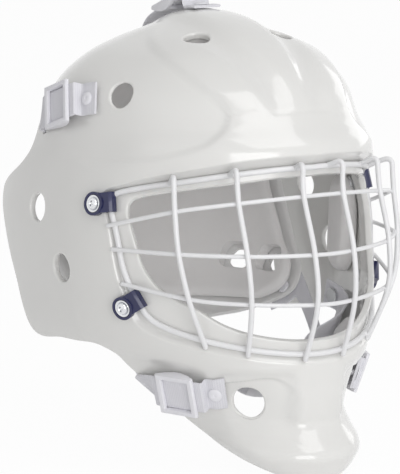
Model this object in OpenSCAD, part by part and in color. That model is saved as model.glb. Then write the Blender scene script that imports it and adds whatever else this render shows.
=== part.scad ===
/* [Shell] */
// Outside width of the shell at the ears
shell_w = 231; // [215:1:245]
// Reach of the face from the ears forward
face_reach = 138; // [130:1:148]
// Outside height of the shell, chin to crown
shell_h = 298; // [280:1:315]
// Wall of the moulded shell
shell_wall = 4.5; // [4:0.1:5.5]
// Depth of the seat that the cage rim lies in
seat_depth = 3.6; // [3:0.1:4.5]
// Depth of the seat under the overhanging brow
brow_depth = 9; // [7:0.5:10]
// Diameter of the side vents
side_vent_d = 19; // [14:0.5:21]
// Diameter of the forehead and crown vents
top_vent_d = 17; // [12:0.5:19]
// Diameter of the chin vents, which also take a throat guard's lace
chin_vent_d = 21; // [16:0.5:23]

/* [Cage] */
// Wire of the rim that lies on the shell
rim_wire = 3.7; // [3.2:0.1:4.6]
// Wire of the uprights
upright_wire = 3.5; // [3:0.1:4.4]
// Wire of the crossbars
crossbar_wire = 2.8; // [2.4:0.1:3.4]
// Reach of the cage ahead of its nominal arch
cage_reach = 0; // [-2:0.5:6]

/* [Cage clips] */
// Distance from a clip's screw to the rim wire
clip_reach = 10; // [9:0.5:13]
// Height of a clip's hook along the wire
clip_h = 13; // [10:0.5:16]
// Diameter of the cup washer under each screw
cup_d = 11.5; // [10:0.5:12]
// Diameter of the cage screws
screw_d = 5; // [4:0.1:5.4]

/* [Harness] */
// Width of the harness webbing
strap_w = 22; // [18:1:25]
// Thickness of the webbing
strap_t = 1.8; // [1.4:0.1:2]
// Height that the webbing stands over the shell inside a slide
strap_lift = 5.6; // [5:0.2:7]
// Length of a slide buckle
slide_l = 28; // [24:1:30]
// Diameter of the harness rivets
rivet_d = 4; // [3:0.1:4.6]

/* [Backplate] */
// Outside half width of the backplate's full curve
back_half_w = 99; // [94:0.5:101]
// Reach of the backplate behind the ears
back_reach = 108; // [100:1:116]
// Wall of the backplate
back_wall = 3; // [2.5:0.1:4]
// Thickness of the backplate's foam
back_foam = 9; // [5:0.5:12]

/* [Liner] */
// Thickness of the forehead pad
forehead_foam = 15; // [8:0.5:20]
// Thickness of the crown pad
crown_foam = 14; // [8:0.5:18]
// Thickness of the temple and cheek pads
side_foam = 12; // [8:0.5:16]
// Thickness of the jaw pads
jaw_foam = 10; // [6:0.5:12]

/* [Chin cup] */
// Inside radius of the chin cup
cup_r = 33; // [28:0.5:38]
// Wall of the chin cup
cup_wall = 2.2; // [1.6:0.1:3]
// Thickness of the chin cup's foam
cup_foam = 6; // [4:0.5:8]
// Width of the chin straps
chin_strap_w = 19; // [15:0.5:20]

/* [Hidden] */
$fn = 48;
nominal = [231, 138, 298];
scale_of = [shell_w / nominal.x, face_reach / nominal.y, shell_h / nominal.z];
fit = 0.3;
cage_colour = [0.93, 0.93, 0.92];
clip_colour = [0.05, 0.06, 0.2];
web_colour = [0.85, 0.85, 0.89];
foam_colour = [0.78, 0.77, 0.8];

// Elevation, then the skin's radius ahead, to the side and behind,
// then how square its plan is ahead and behind
profile = [[-75, 158, 140, 150, 1.6, 2.2], [-60, 172, 134, 150, 1.5, 2.2], [-50, 186, 130, 150, 1.42, 2.3],
  [-45, 183.5, 128, 150, 1.4, 2.4], [-40, 178, 125, 150, 1.4, 2.6], [-36, 172, 124, 150, 1.4, 2.6],
  [-33, 167, 123, 149, 1.45, 2.7], [-29, 160, 122, 149, 1.6, 2.8], [-24, 154, 120.5, 149, 1.75, 3],
  [-12, 143, 116, 149, 1.95, 3.1], [0, 138, 115.5, 148, 2, 3.1], [12, 138, 118, 146, 2, 3.1],
  [22, 143, 121, 142, 2, 2.9], [30, 147, 124, 139, 2, 2.6], [40, 149.5, 134, 141, 2, 2.3],
  [52, 151, 145, 147, 2, 2.05], [68, 153, 148, 148, 2, 2], [90, 154, 154, 154, 2, 2]];

// Half outlines, from the top centre round one side to the chin: station, then x, y, z
port = [[0, 0, -129, 58.5], [0.06, 22, -127, 58.5], [0.13, 46, -118, 56], [0.22, 74, -95, 51],
  [0.29, 91, -73, 46], [0.325, 97, -62, 41], [0.36, 99, -60, 33], [0.41, 98, -63, 22],
  [0.46, 97, -67, 11], [0.52, 95, -71, -2], [0.57, 91, -77, -12], [0.62, 86, -84, -19],
  [0.67, 79, -93, -25], [0.72, 73, -101, -29], [0.8, 59, -112, -39], [0.87, 44, -122, -45],
  [0.94, 22, -132, -49], [1, 0, -137, -50]];
seat = [[0, 0, -133, 68.5], [0.06, 25, -129, 68], [0.13, 48, -118, 65.5], [0.22, 76, -95, 59.5],
  [0.29, 99, -62, 51], [0.325, 106, -45, 43.5], [0.36, 107, -47, 34], [0.41, 107, -51, 24],
  [0.46, 107, -54, 13], [0.52, 106, -56, -1], [0.57, 104, -59, -14], [0.62, 100, -63, -27],
  [0.67, 96, -67, -39], [0.72, 88, -78, -46.5], [0.8, 70, -102, -53], [0.87, 47, -123, -58],
  [0.94, 24, -135, -60.5], [1, 0, -140, -62]];
trim = [[0, 0, 38, 149], [0.08, 44, 42, 139], [0.16, 78, 47, 115], [0.23, 96, 49, 90],
  [0.28, 103, 52, 69], [0.315, 107, 61, 53], [0.345, 108, 84, 39], [0.37, 110, 86, 28],
  [0.42, 111, 76, 5], [0.48, 111, 63, -25], [0.535, 107, 50, -59], [0.56, 106, 38, -64],
  [0.61, 106, 9, -60], [0.655, 104, -23, -59], [0.69, 97, -36, -64], [0.73, 86, -42, -75],
  [0.79, 71, -57, -92], [0.84, 60, -68, -107], [0.885, 52, -80, -119], [0.93, 40, -94, -130],
  [0.965, 24, -110, -137], [1, 0, -119, -140]];

function unit(v) = v / norm(v);
function ease(a, b, x) = let(t = max(0, min(1, (x - a) / (b - a)))) t * t * (3 - 2 * t);
function hill(x, w) = exp(-(x / w) * (x / w));
function flip(p, side) = [p.x * side, p.y, p.z];
function times(a, b) = [a.x * b.x, a.y * b.y, a.z * b.z];
function under(p) = [p.x / scale_of.x, p.y / scale_of.y, p.z / scale_of.z];

// Smooth curve through rows whose first number is the station
function span(k, x, i = 0) = i >= len(k) - 2 || x < k[i + 1][0] ? i : span(k, x, i + 1);
function slope(k, i) = i == 0 || i == len(k) - 1 ? 0 * k[0]
  : (k[i + 1] - k[i - 1]) / (k[i + 1][0] - k[i - 1][0]);
function curve(k, at) = let(
    x = max(k[0][0], min(k[len(k) - 1][0], at)), i = span(k, x),
    h = k[i + 1][0] - k[i][0], s = (x - k[i][0]) / h)
  (2 * pow(s, 3) - 3 * s * s + 1) * k[i] + (pow(s, 3) - 2 * s * s + s) * h * slope(k, i)
  + (3 * s * s - 2 * pow(s, 3)) * k[i + 1] + (pow(s, 3) - s * s) * h * slope(k, i + 1);
function outline(k, at) = let(p = curve(k, at)) [p[1], p[2], p[3]];

// The outer skin, before any scaling, in the direction of azimuth a and elevation e
nose_round = 0.13;
function skin_r(a, e) = let(
    p = curve(profile, e), w = 1 / (1 + exp(-14 * cos(a))), n = p[4] * w + p[5] * (1 - w),
    ahead = cos(a) > 0 ? p[1] : p[3], k = nose_round * ease(-20, -34, e) + 0.000001,
    s = (sqrt(pow(sin(a), 2) + k * k) - k) / (sqrt(1 + k * k) - k))
  pow(pow(abs(cos(a)) / ahead, n) + pow(s / p[2], n), -1 / n);
crest_rise = 3.6;
lobe_rise = 4;
brow_rise = 3;
chin_rise = 20;
panel_sink = 3.5;
function sculpt(x, y, z) = let(crest = 6 + 13 * ease(100, 150, z))
  crest_rise * ease(92, 122, z) * (1 - ease(crest - 4, crest + 8, x)) * ease(60, -10, y)
  + lobe_rise * ease(crest + 10, crest + 26, x) * ease(84, 108, z) * (1 - ease(126, 150, z)) * ease(70, 10, y)
  + brow_rise * hill(z - 73.5, 11) * ease(-30, -70, y)
  - panel_sink * ease(17, 25, x) * ease(-66, -76, z) * (1 - ease(-116, -124, z)) * ease(-98, -113, y);
function flare(y, z) = chin_rise * ease(-102, -128, z) * ease(-65, -112, y);
function skin(v, off = 0, carved = 1) = let(
    a = atan2(v.x, -v.y), e = atan2(v.z, norm([v.x, v.y])), r = skin_r(a, e),
    x = abs(r * sin(a) * cos(e)), y = -r * cos(a) * cos(e), z = r * sin(e),
    q = r + carved * sculpt(x, y, z), h = q * cos(e) + flare(y, z),
    p = times([h * sin(a), -h * cos(a), q * sin(e)], scale_of))
  p + off * unit(p);
function normal(v) = let(
    u = unit(v), a = unit(cross(u, abs(u.z) > 0.9 ? [0, 1, 0] : [0, 0, 1])), b = cross(a, u),
    p = skin(u), n = unit(cross(skin(u + 0.02 * a) - p, skin(u + 0.02 * b) - p)))
  n * p < 0 ? -n : n;
function lifted(v, h) = skin(v) + h * normal(v);

// Depth of the cage seat at a station
function depth(at) = seat_depth + (brow_depth - seat_depth) * (1 - ease(0.26, 0.35, at));
function between(a, b, w) = unit(unit(a) * (1 - w) + unit(b) * w);
function wall_dir(at, w) = w <= 1 ? between(outline(port, at), outline(seat, at), w)
  : between(outline(seat, at), outline(trim, at), w - 1);

// Rows across the wall: place from port (0) by seat (1) to trim (2), share of the seat's depth, inside or not
outer_rows = [[0, 1], [0.45, 1], [0.88, 1], [0.96, 0.9], [1.012, 0.16], [1.03, 0.03], [1.06, 0], [1.14, 0],
  [1.24, 0], [1.34, 0], [1.45, 0], [1.56, 0], [1.67, 0], [1.78, 0], [1.88, 0], [1.95, 0], [2, 0]];
inner_rows = [[2, 0], [1.95, 0], [1.86, 0], [1.74, 0], [1.6, 0], [1.46, 0], [1.32, 0], [1.18, 0],
  [1.09, 0], [1.04, 0], [0.99, 0.5], [0.93, 1], [0.5, 1], [0, 1]];
half_columns = 40;

// The quads past the ring named turn are split along their other diagonal, so that both sides can be mirror images
function ring_faces(n, m, closed, turn) = [for (i = [0:(closed ? n - 1 : n - 2)]) for (j = [0:m - 1])
  let(a = i * m + j, b = i * m + (j + 1) % m, c = ((i + 1) % n) * m + (j + 1) % m, d = ((i + 1) % n) * m + j)
  each i < turn ? [[a, b, c], [a, c, d]] : [[a, b, d], [b, c, d]]];
function fan(a, m, turned) = [for (j = [1:m - 2]) turned ? [a, a + j, a + j + 1] : [a, a + j + 1, a + j]];
function ladder(a, m, turned) = [for (j = [0:m / 2 - 2]) let(q = [a + j, a + j + 1, a + m - 2 - j, a + m - 1 - j])
  each turned ? [[q[0], q[1], q[2]], [q[0], q[2], q[3]]] : [[q[0], q[2], q[1]], [q[0], q[3], q[2]]]];
module swept(rings, closed = false, laddered = false, turn = 1000) {
  n = len(rings);
  m = len(rings[0]);
  points = [for (r = rings) each r];
  ends = closed ? [] : laddered ? concat(ladder(0, m, false), ladder((n - 1) * m, m, true))
    : concat(fan(0, m, false), fan((n - 1) * m, m, true));
  polyhedron(points, concat(ring_faces(n, m, closed, turn), ends));
}

function station(i) = i <= half_columns ? i / half_columns : 2 - i / half_columns;
function side_of(i) = i <= half_columns ? 1 : -1;
module skin_wall() {
  swept([for (i = [0:2 * half_columns - 1]) let(at = station(i), d = depth(at))
    concat([for (r = outer_rows) flip(skin(wall_dir(at, r[0]), -d * r[1]), side_of(i))],
      [for (r = inner_rows) flip(skin(wall_dir(at, r[0]), -shell_wall - d * r[1]), side_of(i))])], true, turn = half_columns);
}

// Stands children on a point with z along n and x as near to ahead as it can be
module stand(p, n, ahead) {
  z = unit(n);
  x = unit(ahead - (ahead * z) * z);
  y = cross(z, x);
  multmatrix([[x.x, y.x, z.x, p.x], [x.y, y.y, z.y, p.y], [x.z, y.z, z.z, p.z], [0, 0, 0, 1]]) children();
}
module bore(v, d) {
  stand(skin(v), normal(v), [0.2, 0.3, 1]) cylinder(h = 40, d = d, center = true);
}
module both() {
  children();
  mirror([1, 0, 0]) children();
}

// Vents, as directions on the wearer's left
side_vents = [[115, 25.6, 27.1], [114.8, -4.2, -10.2]];
top_vents = [[89.4, -38.9, 105.1], [34.3, -45.3, 141.4]];
chin_vent = [42.7, -116.6, -93.4];

// Cage rim, laid on the seat
rim_place = 0.72;
brow_place = 0.64;
rim_gap = 0.4;
function rim_dir(at) = wall_dir(at, brow_place + (rim_place - brow_place) * ease(0.2, 0.34, at));
function rim_at(at) = skin(rim_dir(at), -depth(at)) + (rim_wire / 2 + rim_gap) * normal(rim_dir(at));
upper_clip_at = 0.343;
lower_clip_at = 0.6165;
clip_stations = [upper_clip_at, lower_clip_at];
function outward(at) = let(n = normal(outline(seat, at)), o = cross(n, rim_at(at + 0.01) - rim_at(at - 0.01)))
  unit(o.y > 0 ? o : -o);
function clip_spot(at) = under(rim_at(at) + clip_reach * outward(at));

module shell() {
  color([0.95, 0.95, 0.94]) difference() {
    skin_wall();
    both() for (v = side_vents) bore(v, side_vent_d);
    both() for (v = top_vents) bore(v, top_vent_d);
    both() bore(chin_vent, chin_vent_d);
    both() for (at = clip_stations) bore(clip_spot(at), screw_d + 2 * fit);
    at_clips() translate([0, 0, nut_top - 8]) cylinder(h = 8.3, d = nut_d + 1);
    bore(rivet_spot(top_way), rivet_d + fit);
    both() for (way = [upper_way, lower_way]) bore(rivet_spot(way), rivet_d + fit);
    both() stud_line() cylinder(h = stud_foot.x - strap_x + shell_wall - 1.2, d = stud_d + fit);
    both() strap_slot();
  }
}

// Round wire along a list of points, mitred at each, so that every face of it is flat
wire_sides = 8;
function leg(path, i) = let(k = max(1, min(len(path) - 1, i))) unit(path[k] - path[k - 1]);
function hoop(p, t, up, d) = let(b = unit(cross(t, up)), n = cross(b, t))
  [for (k = [0:wire_sides - 1]) let(c = 360 / wire_sides * (k + 0.5)) p + d / 2 / cos(180 / wire_sides) * (cos(c) * b + sin(c) * n)];
function slid(ring, way, p, n) = [for (q = ring) q + ((p - q) * n) / (way * n) * way];
function mitred(path, first) = [for (i = 0, r = first; i < len(path); i = i + 1,
  r = i < len(path) ? slid(r, leg(path, i), path[i], unit(leg(path, i) + leg(path, i + 1))) : r) r];
module wire(path, d, up) {
  swept(mitred(path, hoop(path[0], leg(path, 0), up, d)));
}

rim_steps = 40;
function rim_rings(d) = let(path = [for (i = [0:rim_steps]) rim_at(i / rim_steps)], way = leg(path, 0),
    r = mitred(path, slid(hoop(path[0], way, unit(path[0] + [0, 40, 0]), d), way, path[0], [1, 0, 0])))
  [for (i = [0:rim_steps]) i < rim_steps ? r[i] : slid(r[i], leg(path, i), path[i], [1, 0, 0])];
module cage_rim() {
  half = rim_rings(rim_wire);
  color(cage_colour) swept(concat(half, [for (i = [rim_steps - 1:-1:1]) [for (q = half[i]) flip(q, -1)]]), true);
}

// Crossings of the three crossbars (rows) with the three uprights of one side, outermost first
crossings = [[[88, -99.5, 36], [56.4, -123.6, 41.3], [15.7, -136.8, 44.1]],
  [[88, -103.8, 9.2], [56.6, -133.4, 8.8], [15.5, -148.5, 8.1]],
  [[82.6, -107.2, -19.8], [54.5, -135, -21.9], [14.8, -150.6, -23.7]]];
elbows = [[87.5, -97.5, 59.7], [56, -120.5, 64], [15.9, -135.5, 66]];
upright_tops = [0.245, 0.153, 0.038];
upright_feet = [0.797, 0.868, 0.96];
crossbar_ends = [0.407, 0.477, 0.572];
cage_axis = [0, -33, 0];
function cage_point(p, off) = let(
    q = times(p, scale_of) - [0, cage_reach, 0], o = unit([q.x - cage_axis.x, q.y - cage_axis.y, 0]))
  q + off * o;
upright_off = upright_wire / 2 - 0.2;
crossbar_off = 0.1 - crossbar_wire / 2;
function bezier(a, b, c, n) = [for (i = [0:n]) let(t = i / n) (1 - t) * (1 - t) * a + 2 * t * (1 - t) * b + t * t * c];
function through(pts, steps) = let(k = [for (i = [0:len(pts) - 1]) concat([i], pts[i])], n = (len(pts) - 1) * steps)
  [for (i = [0:n]) outline(k, i / steps)];
elbow_leg = 0.45;
elbow_run = 0.24;
weld_lap = 0.25;
wire_end = 3;
function upright_path(i) = let(
    e = cage_point(elbows[i], upright_off), rim = rim_at(upright_tops[i]),
    top = rim + (rim_wire / 2 - weld_lap) * unit(e - rim),
    foot = rim_at(upright_feet[i]), n = normal(foot),
    run = [for (row = [0:2]) cage_point(crossings[row][i], upright_off)],
    a = e + elbow_leg * (top - e), b = e + elbow_run * (run[0] - e),
    f = foot + ((rim_wire + upright_wire) / 2 - weld_lap) * n, last = f + wire_end * unit(f - run[2]))
  concat([top], bezier(a, e, b, 3), [for (p = through([b, run[0], run[1], run[2], f], 3)) if (norm(p - b) > 1) p], [last]);
module cage_uprights() {
  color(cage_colour) both() for (i = [0:2]) wire(upright_path(i), upright_wire, [1, 0.1, 0]);
}
function crossbar_half(row) = let(
    at = crossbar_ends[row], n = normal(rim_at(at)),
    f = rim_at(at) + ((rim_wire + crossbar_wire) / 2 - weld_lap) * n)
  [f, for (i = [0:2]) cage_point(crossings[row][i], crossbar_off)];
function crossbar_path(row) = let(h = crossbar_half(row), last = h[0] + wire_end * unit(h[0] - h[1]))
  concat([last], through(concat(h, [for (i = [3:-1:0]) flip(h[i], -1)]), 2), [flip(last, -1)]);
module cage_crossbars() {
  color(cage_colour) for (row = [0:2]) wire(crossbar_path(row), crossbar_wire, [0, 0, 1]);
}

// Clips: a plate under the screw and a hook over the rim wire
plate_t = 2.4;
hook_t = 2.4;
cup_t = 1.6;
cup_floor = 0.9;
head_d = cup_d - 4;
nut_d = 11.5;
module clip(at) {
  v = clip_spot(at);
  p = skin(v);
  n = normal(v);
  w = rim_at(at);
  groove = rim_rings(rim_wire + 2 * fit);
  k = round(at * rim_steps);
  reach = norm((w - p) - ((w - p) * n) * n);
  rise = (w - p) * n;
  top = max(plate_t + fit + 0.5, rise + rim_wire / 2 + fit + hook_t);
  tip = reach + rim_wire / 2 + hook_t;
  difference() {
    stand(p, n, w - p) {
      translate([0, 0, fit]) cylinder(h = plate_t, d = cup_d + 4);
      translate([0, -clip_h / 2, fit]) cube([tip, clip_h, plate_t]);
      translate([cup_d / 2 + 0.5, -clip_h / 2, fit]) cube([tip - cup_d / 2 - 0.5, clip_h, top - fit]);
      translate([reach + rim_wire / 2 + fit, -clip_h / 2, rise - 0.4]) cube([hook_t - fit, clip_h, top - rise]);
    }
    stand(p, n, w - p) cylinder(h = 40, d = screw_d + fit, center = true);
    swept([for (i = [k - 6:k + 6]) groove[i]]);
  }
}
module upper_clip_left() { color(clip_colour) clip(upper_clip_at); }
module upper_clip_right() { color(clip_colour) mirror([1, 0, 0]) clip(upper_clip_at); }
module lower_clip_left() { color(clip_colour) clip(lower_clip_at); }
module lower_clip_right() { color(clip_colour) mirror([1, 0, 0]) clip(lower_clip_at); }
module at_clips() {
  both() for (at = clip_stations)
    stand(skin(clip_spot(at)), normal(clip_spot(at)), rim_at(at) - skin(clip_spot(at))) children();
}
cup_base = fit + plate_t + 0.1;
nut_top = -(shell_wall + 0.9);
module cup_washers() {
  r = cup_d / 2;
  color([0.25, 0.25, 0.3]) at_clips() translate([0, 0, cup_base]) rotate_extrude() polygon([
    [screw_d / 2 + 0.15, 0], [r, 0], [r, cup_t / 2], [r - 0.5, cup_t], [r - 1.1, cup_t],
    [r - 1.6, cup_floor], [screw_d / 2 + 0.15, cup_floor]]);
}
module cage_screws() {
  base = cup_base + cup_floor + 0.05;
  h = head_d / 2;
  color([0.75, 0.76, 0.78]) at_clips() difference() {
    union() {
      translate([0, 0, base]) rotate_extrude() polygon([[0, 0], [h, 0], [h, 0.9], [h - 0.5, 1.7], [h - 1.6, 2.3], [0, 2.5]]);
      translate([0, 0, nut_top - 3.4]) cylinder(h = base - nut_top + 3.5, d = screw_d);
    }
    for (turn = [0, 90]) rotate(turn) translate([-2.2, -0.55, base + 1.2]) cube([4.4, 1.1, 3]);
  }
}
module cage_nuts() {
  color([0.6, 0.6, 0.62]) at_clips() difference() {
    union() {
      translate([0, 0, nut_top - 1.2]) cylinder(h = 1.2, d = nut_d);
      translate([0, 0, nut_top - 3]) cylinder(h = 2.4, d = screw_d + 4, $fn = 6);
    }
    translate([0, 0, nut_top - 10]) cylinder(h = 20, d = screw_d + 0.1);
  }
}

// Webbing: rows of its two edges on the underside, and the way its outer face looks
function edges(p, n, t, w = strap_w) = let(b = unit(cross(t, n))) [p - w / 2 * b, p + w / 2 * b, unit(n)];
function placed(p, n, k, pts, w = strap_w) = let(m = len(pts), t = pts[min(m - 1, k + 1)] - pts[max(0, k - 1)])
  edges(p, n, t, w);
module ribbon(rows, t = strap_t) {
  swept([for (r = rows) [r[0], r[1], r[1] + t * r[2], r[0] + t * r[2]]]);
}
web_gap = 0.7;
straight = 18;

// Harness runs on the shell, as directions: slide, then the edge or slot that the webbing goes to
upper_way = [[100.5, 8, 95], [100, 38, 86]];
lower_way = [[67, -77, -84.5], [77.5, -54, -84.5]];
top_way = [[0, 22, 151], [0, 38, 149]];
lower_rise = 0.7;
function gap_under(way) = web_gap + (way == lower_way ? lower_rise : 0);
rivet_back = 25.5;
end_back = 33.5;
function slide_n(way) = normal(way[0]);
function slide_t(way) = let(n = slide_n(way), d = skin(way[1]) - skin(way[0])) unit(d - (d * n) * n);
function back_along(way, d) = under(skin(way[0]) - d * slide_t(way));
function head_rows(way) = let(
    n = slide_n(way), t = slide_t(way), c = skin(way[0]) + strap_lift * n,
    a = [for (d = [end_back, rivet_back, rivet_back - 6]) back_along(way, d)])
  concat([for (v = a) edges(lifted(v, gap_under(way)), normal(v), t)],
    [edges(c - (straight + 1) * t - 0.5 * n, n, t), edges(c - (straight - 1) * t, n, t), edges(c + straight * t, n, t)]);

// Backplate: a dish round the back of the head, in its own azimuth from the rear and elevation
back_axis = [0, 8, 22];
back_half_h = 115;
function back_dir(a, e) = [sin(a) * cos(e), cos(a) * cos(e), sin(e)];
function dish(a, e, off = 0) = let(
    d = back_dir(a, e), ry = back_reach - back_axis.y,
    h = pow(pow(abs(d.x) / back_half_w, 2.2) + pow(abs(d.y) / ry, 2.2), 1 / 2.2), r = 1 / norm([h, d.z / back_half_h]))
  back_axis + (r + off) * d;
function dish_n(a, e) = let(n = unit(cross(dish(a + 0.5, e) - dish(a - 0.5, e), dish(a, e + 0.5) - dish(a, e - 0.5))))
  n * back_dir(a, e) < 0 ? -n : n;
back_edge = [[-57, 42], [-52, 68], [-43, 95], [-33, 98], [-20, 86], [0, 76], [30, 70], [50, 56], [60, 32]];
function back_reach_at(e) = let(p = curve(back_edge, e)) p[1];
upper_anchor = [52, 22];
lower_anchor = [92, -40];
top_anchor = [0, 50];
windows = [[58, -30], [80, -30]];

function on_dish(a, e, t, w = strap_w) = let(n = dish_n(a, e)) edges(dish(a, e) + fit * n, n, t, w);
module upper_strap() {
  n = slide_n(upper_way);
  t = slide_t(upper_way);
  s = skin(upper_way[1]);
  m = normal(upper_way[1]);
  k = unit(t - (t * m) * m);
  a = upper_anchor[0];
  e = upper_anchor[1];
  g = dish(a - 8, e - 2) - dish(a + 8, e + 2);
  difference() {
    ribbon(concat(head_rows(upper_way), [
      edges(s + 2.6 * m - 1.6 * k, unit(m + k), k - m), edges(s - 0.2 * m - strap_t / 2 * k, k, -m),
      edges(s - (shell_wall + 1.2) * m - strap_t / 2 * k, k, -m),
      edges(s - (shell_wall + 3.6) * m + 1.4 * k, unit(m + k), k - m)],
      [on_dish(a + 7, e + 2, g), on_dish(a, e, g), on_dish(a - 8, e - 2, g)]));
    bore(rivet_spot(upper_way), rivet_d + fit);
    stand(dish(a, e), dish_n(a, e), [0, 0, 1]) cylinder(h = 12, d = rivet_d + fit, center = true);
  }
}
module strap_slot() {
  m = normal(upper_way[1]);
  stand(skin(upper_way[1]), m, slide_t(upper_way)) translate([-2.6, -strap_w / 2 - 1, -20]) cube([5.2, strap_w + 2, 40]);
}
wrap_at = [0.745, 0.802];
function edge_dir(at) = wall_dir(at, 2);
function edge_out(at) = let(n = normal(edge_dir(at)), e = skin(edge_dir(at + 0.01)) - skin(edge_dir(at - 0.01)),
    g = unit(cross(n, e))) g * (skin(edge_dir(at)) - skin(wall_dir(at, 1.9))) > 0 ? g : -g;
function wrap_row(h, out, turn) = let(a = wrap_at[0], b = wrap_at[1],
    p = [for (at = [a, b]) skin(edge_dir(at)) + h * normal(edge_dir(at)) + out * edge_out(at)],
    n = unit(turn[0] * normal(edge_dir((a + b) / 2)) + turn[1] * edge_out((a + b) / 2)))
  [p[0], p[1], n];
module lower_strap() {
  a = lower_anchor[0];
  e = lower_anchor[1];
  u = unit(dish(a - 8, e - 3) - dish(a + 8, e + 3));
  difference() {
    ribbon(concat(head_rows(lower_way), [
      wrap_row(1, -2.5, [1, 0.1]), wrap_row(0.5, 0.6, [0.85, 0.5]), wrap_row(-3, 1.8, [0.5, 0.85])],
      [for (k = [[6, 3], [0, 0], [-9, -4]]) on_dish(a + k[0], e + k[1], u)]));
    bore(rivet_spot(lower_way), rivet_d + fit);
    stand(dish(a, e), dish_n(a, e), [0, 0, 1]) cylinder(h = 12, d = rivet_d + fit, center = true);
  }
}
module top_strap() {
  e = top_anchor[1];
  n = slide_n(top_way);
  t = slide_t(top_way);
  c = skin(top_way[0]) + strap_lift * n;
  color(web_colour) difference() {
    ribbon(concat(head_rows(top_way), [
      edges(c + 27 * t - 1.5 * n, [0, 0.35, 1], [0, 1, -0.35]), edges(c + 36 * t - 7 * n, [0, 0.75, 0.75], [0, 1, -1]),
      on_dish(0, e + 8, [0, 1, -1.2]), on_dish(0, e, [0, 1, -1.2]), on_dish(0, e - 6, [0, 1, -1.5])]));
    bore(rivet_spot(top_way), rivet_d + fit);
    stand(dish(0, e), dish_n(0, e), [1, 0, 0]) cylinder(h = 12, d = rivet_d + fit, center = true);
  }
}
module upper_strap_left() { color(web_colour) upper_strap(); }
module upper_strap_right() { color(web_colour) mirror([1, 0, 0]) upper_strap(); }
module lower_strap_left() { color(web_colour) lower_strap(); }
module lower_strap_right() { color(web_colour) mirror([1, 0, 0]) lower_strap(); }

// Slide buckle: two end bars over the webbing, a middle bar under it, and a rail at each side
bar_t = 2.4;
bar_w = 4.4;
rail_w = 2.8;
web_clear = 0.3;
module slide(way) {
  low = strap_lift - web_clear - bar_t;
  high = strap_lift + strap_t + web_clear;
  top = high + bar_t;
  h = slide_l / 2;
  wide = strap_w + 2 * web_clear;
  stand(skin(way[0]), slide_n(way), slide_t(way)) {
    for (side = [-1, 1]) {
      translate([0, side * (wide + rail_w) / 2 + rail_w / 2, 0]) rotate([90, 0, 0]) linear_extrude(rail_w) polygon([
        [-h, high], [-h, top - 1], [-h + 1.2, top], [h - 1.2, top], [h, top - 1], [h, high], [h - 5, strap_lift - 0.6],
        [bar_w / 2 + 0.6, low], [-bar_w / 2 - 0.6, low], [5 - h, strap_lift - 0.6]]);
      translate([side * (h - bar_w / 2), 0, 0]) rotate([90, 0, 0]) linear_extrude(wide + 0.2, center = true) polygon([
        [-bar_w / 2, high], [-bar_w / 2, top - 1], [1 - bar_w / 2, top], [bar_w / 2 - 1, top], [bar_w / 2, top - 1], [bar_w / 2, high]]);
    }
    translate([-bar_w / 2, -wide / 2 - 0.1, low]) cube([bar_w, wide + 0.2, bar_t]);
  }
}
module top_slide() { color(web_colour) slide(top_way); }
module upper_slide_left() { color(web_colour) slide(upper_way); }
module upper_slide_right() { color(web_colour) mirror([1, 0, 0]) slide(upper_way); }
module lower_slide_left() { color(web_colour) slide(lower_way); }
module lower_slide_right() { color(web_colour) mirror([1, 0, 0]) slide(lower_way); }

// Rivets
rivet_head = 9;
head_t = 1.3;
function rivet_spot(way) = back_along(way, rivet_back);
shell_rivet_spots = [rivet_spot(top_way), for (way = [upper_way, lower_way]) for (side = [-1, 1]) flip(rivet_spot(way), side)];
module head_rivet(way) {
  stand(skin(rivet_spot(way)), normal(rivet_spot(way)), [0.2, 0.3, 1])
    rivet(-shell_wall - 1.9, gap_under(way) + strap_t + 0.1);
}
module rivet(low, high) {
  translate([0, 0, low]) cylinder(h = high - low, d = rivet_d);
  translate([0, 0, high - 0.01]) rotate_extrude() polygon([[0, 0], [rivet_head / 2, 0], [rivet_head / 2, head_t * 0.35],
    [rivet_head / 2 - 1.3, head_t], [0, head_t]]);
  translate([0, 0, low - head_t]) cylinder(h = head_t + 0.01, d = rivet_head);
}
module shell_rivets() {
  color(web_colour) {
    head_rivet(top_way);
    both() for (way = [upper_way, lower_way]) head_rivet(way);
  }
}
module at_anchors() {
  for (a = [top_anchor]) stand(dish(a[0], a[1]), dish_n(a[0], a[1]), [1, 0, 0]) children();
  both() for (a = [upper_anchor, lower_anchor]) stand(dish(a[0], a[1]), dish_n(a[0], a[1]), [0, 0, 1]) children();
}
module backplate_rivets() {
  color(web_colour) at_anchors() rivet(-back_wall - 1.1, fit + strap_t + 0.15);
}

// Backplate and its foam
back_columns = 24;
back_rows = 13;
module dish_wall(outer, inner, shrink) {
  half = back_rows / 2;
  rows = [for (v = [0:back_rows]) -57 + 117 * v / back_rows - (v / half - 1) * shrink * (v < half ? 3.4 : 1.6)];
  swept([for (i = [0:back_columns]) let(u = 1 - 2 * i / back_columns)
    concat([for (e = rows) dish(u * (back_reach_at(e) - 1.6 * shrink), e, -outer)],
      [for (k = [0:back_rows]) let(e = rows[back_rows - k]) dish(u * (back_reach_at(e) - 1.6 * shrink), e, -inner)])],
    laddered = true);
}
module window(a, e, grow) {
  w = 9 + grow;
  h = 7 + grow;
  stand(dish(a, e), dish_n(a, e), [0, 0, 1]) translate([0, 0, -20]) linear_extrude(40) polygon([
    [-h, 4 - w], [-h, w - 4], [4 - h, w], [h - 5, w - 1], [h, w - 5], [h, 5 - w], [h - 5, 1 - w], [4 - h, -w]]);
}
module backplate() {
  color([0.86, 0.86, 0.86]) difference() {
    dish_wall(0, back_wall, 0);
    at_anchors() cylinder(h = 12, d = rivet_d + fit, center = true);
    both() for (w = windows) window(w[0], w[1], 0);
  }
}
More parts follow.
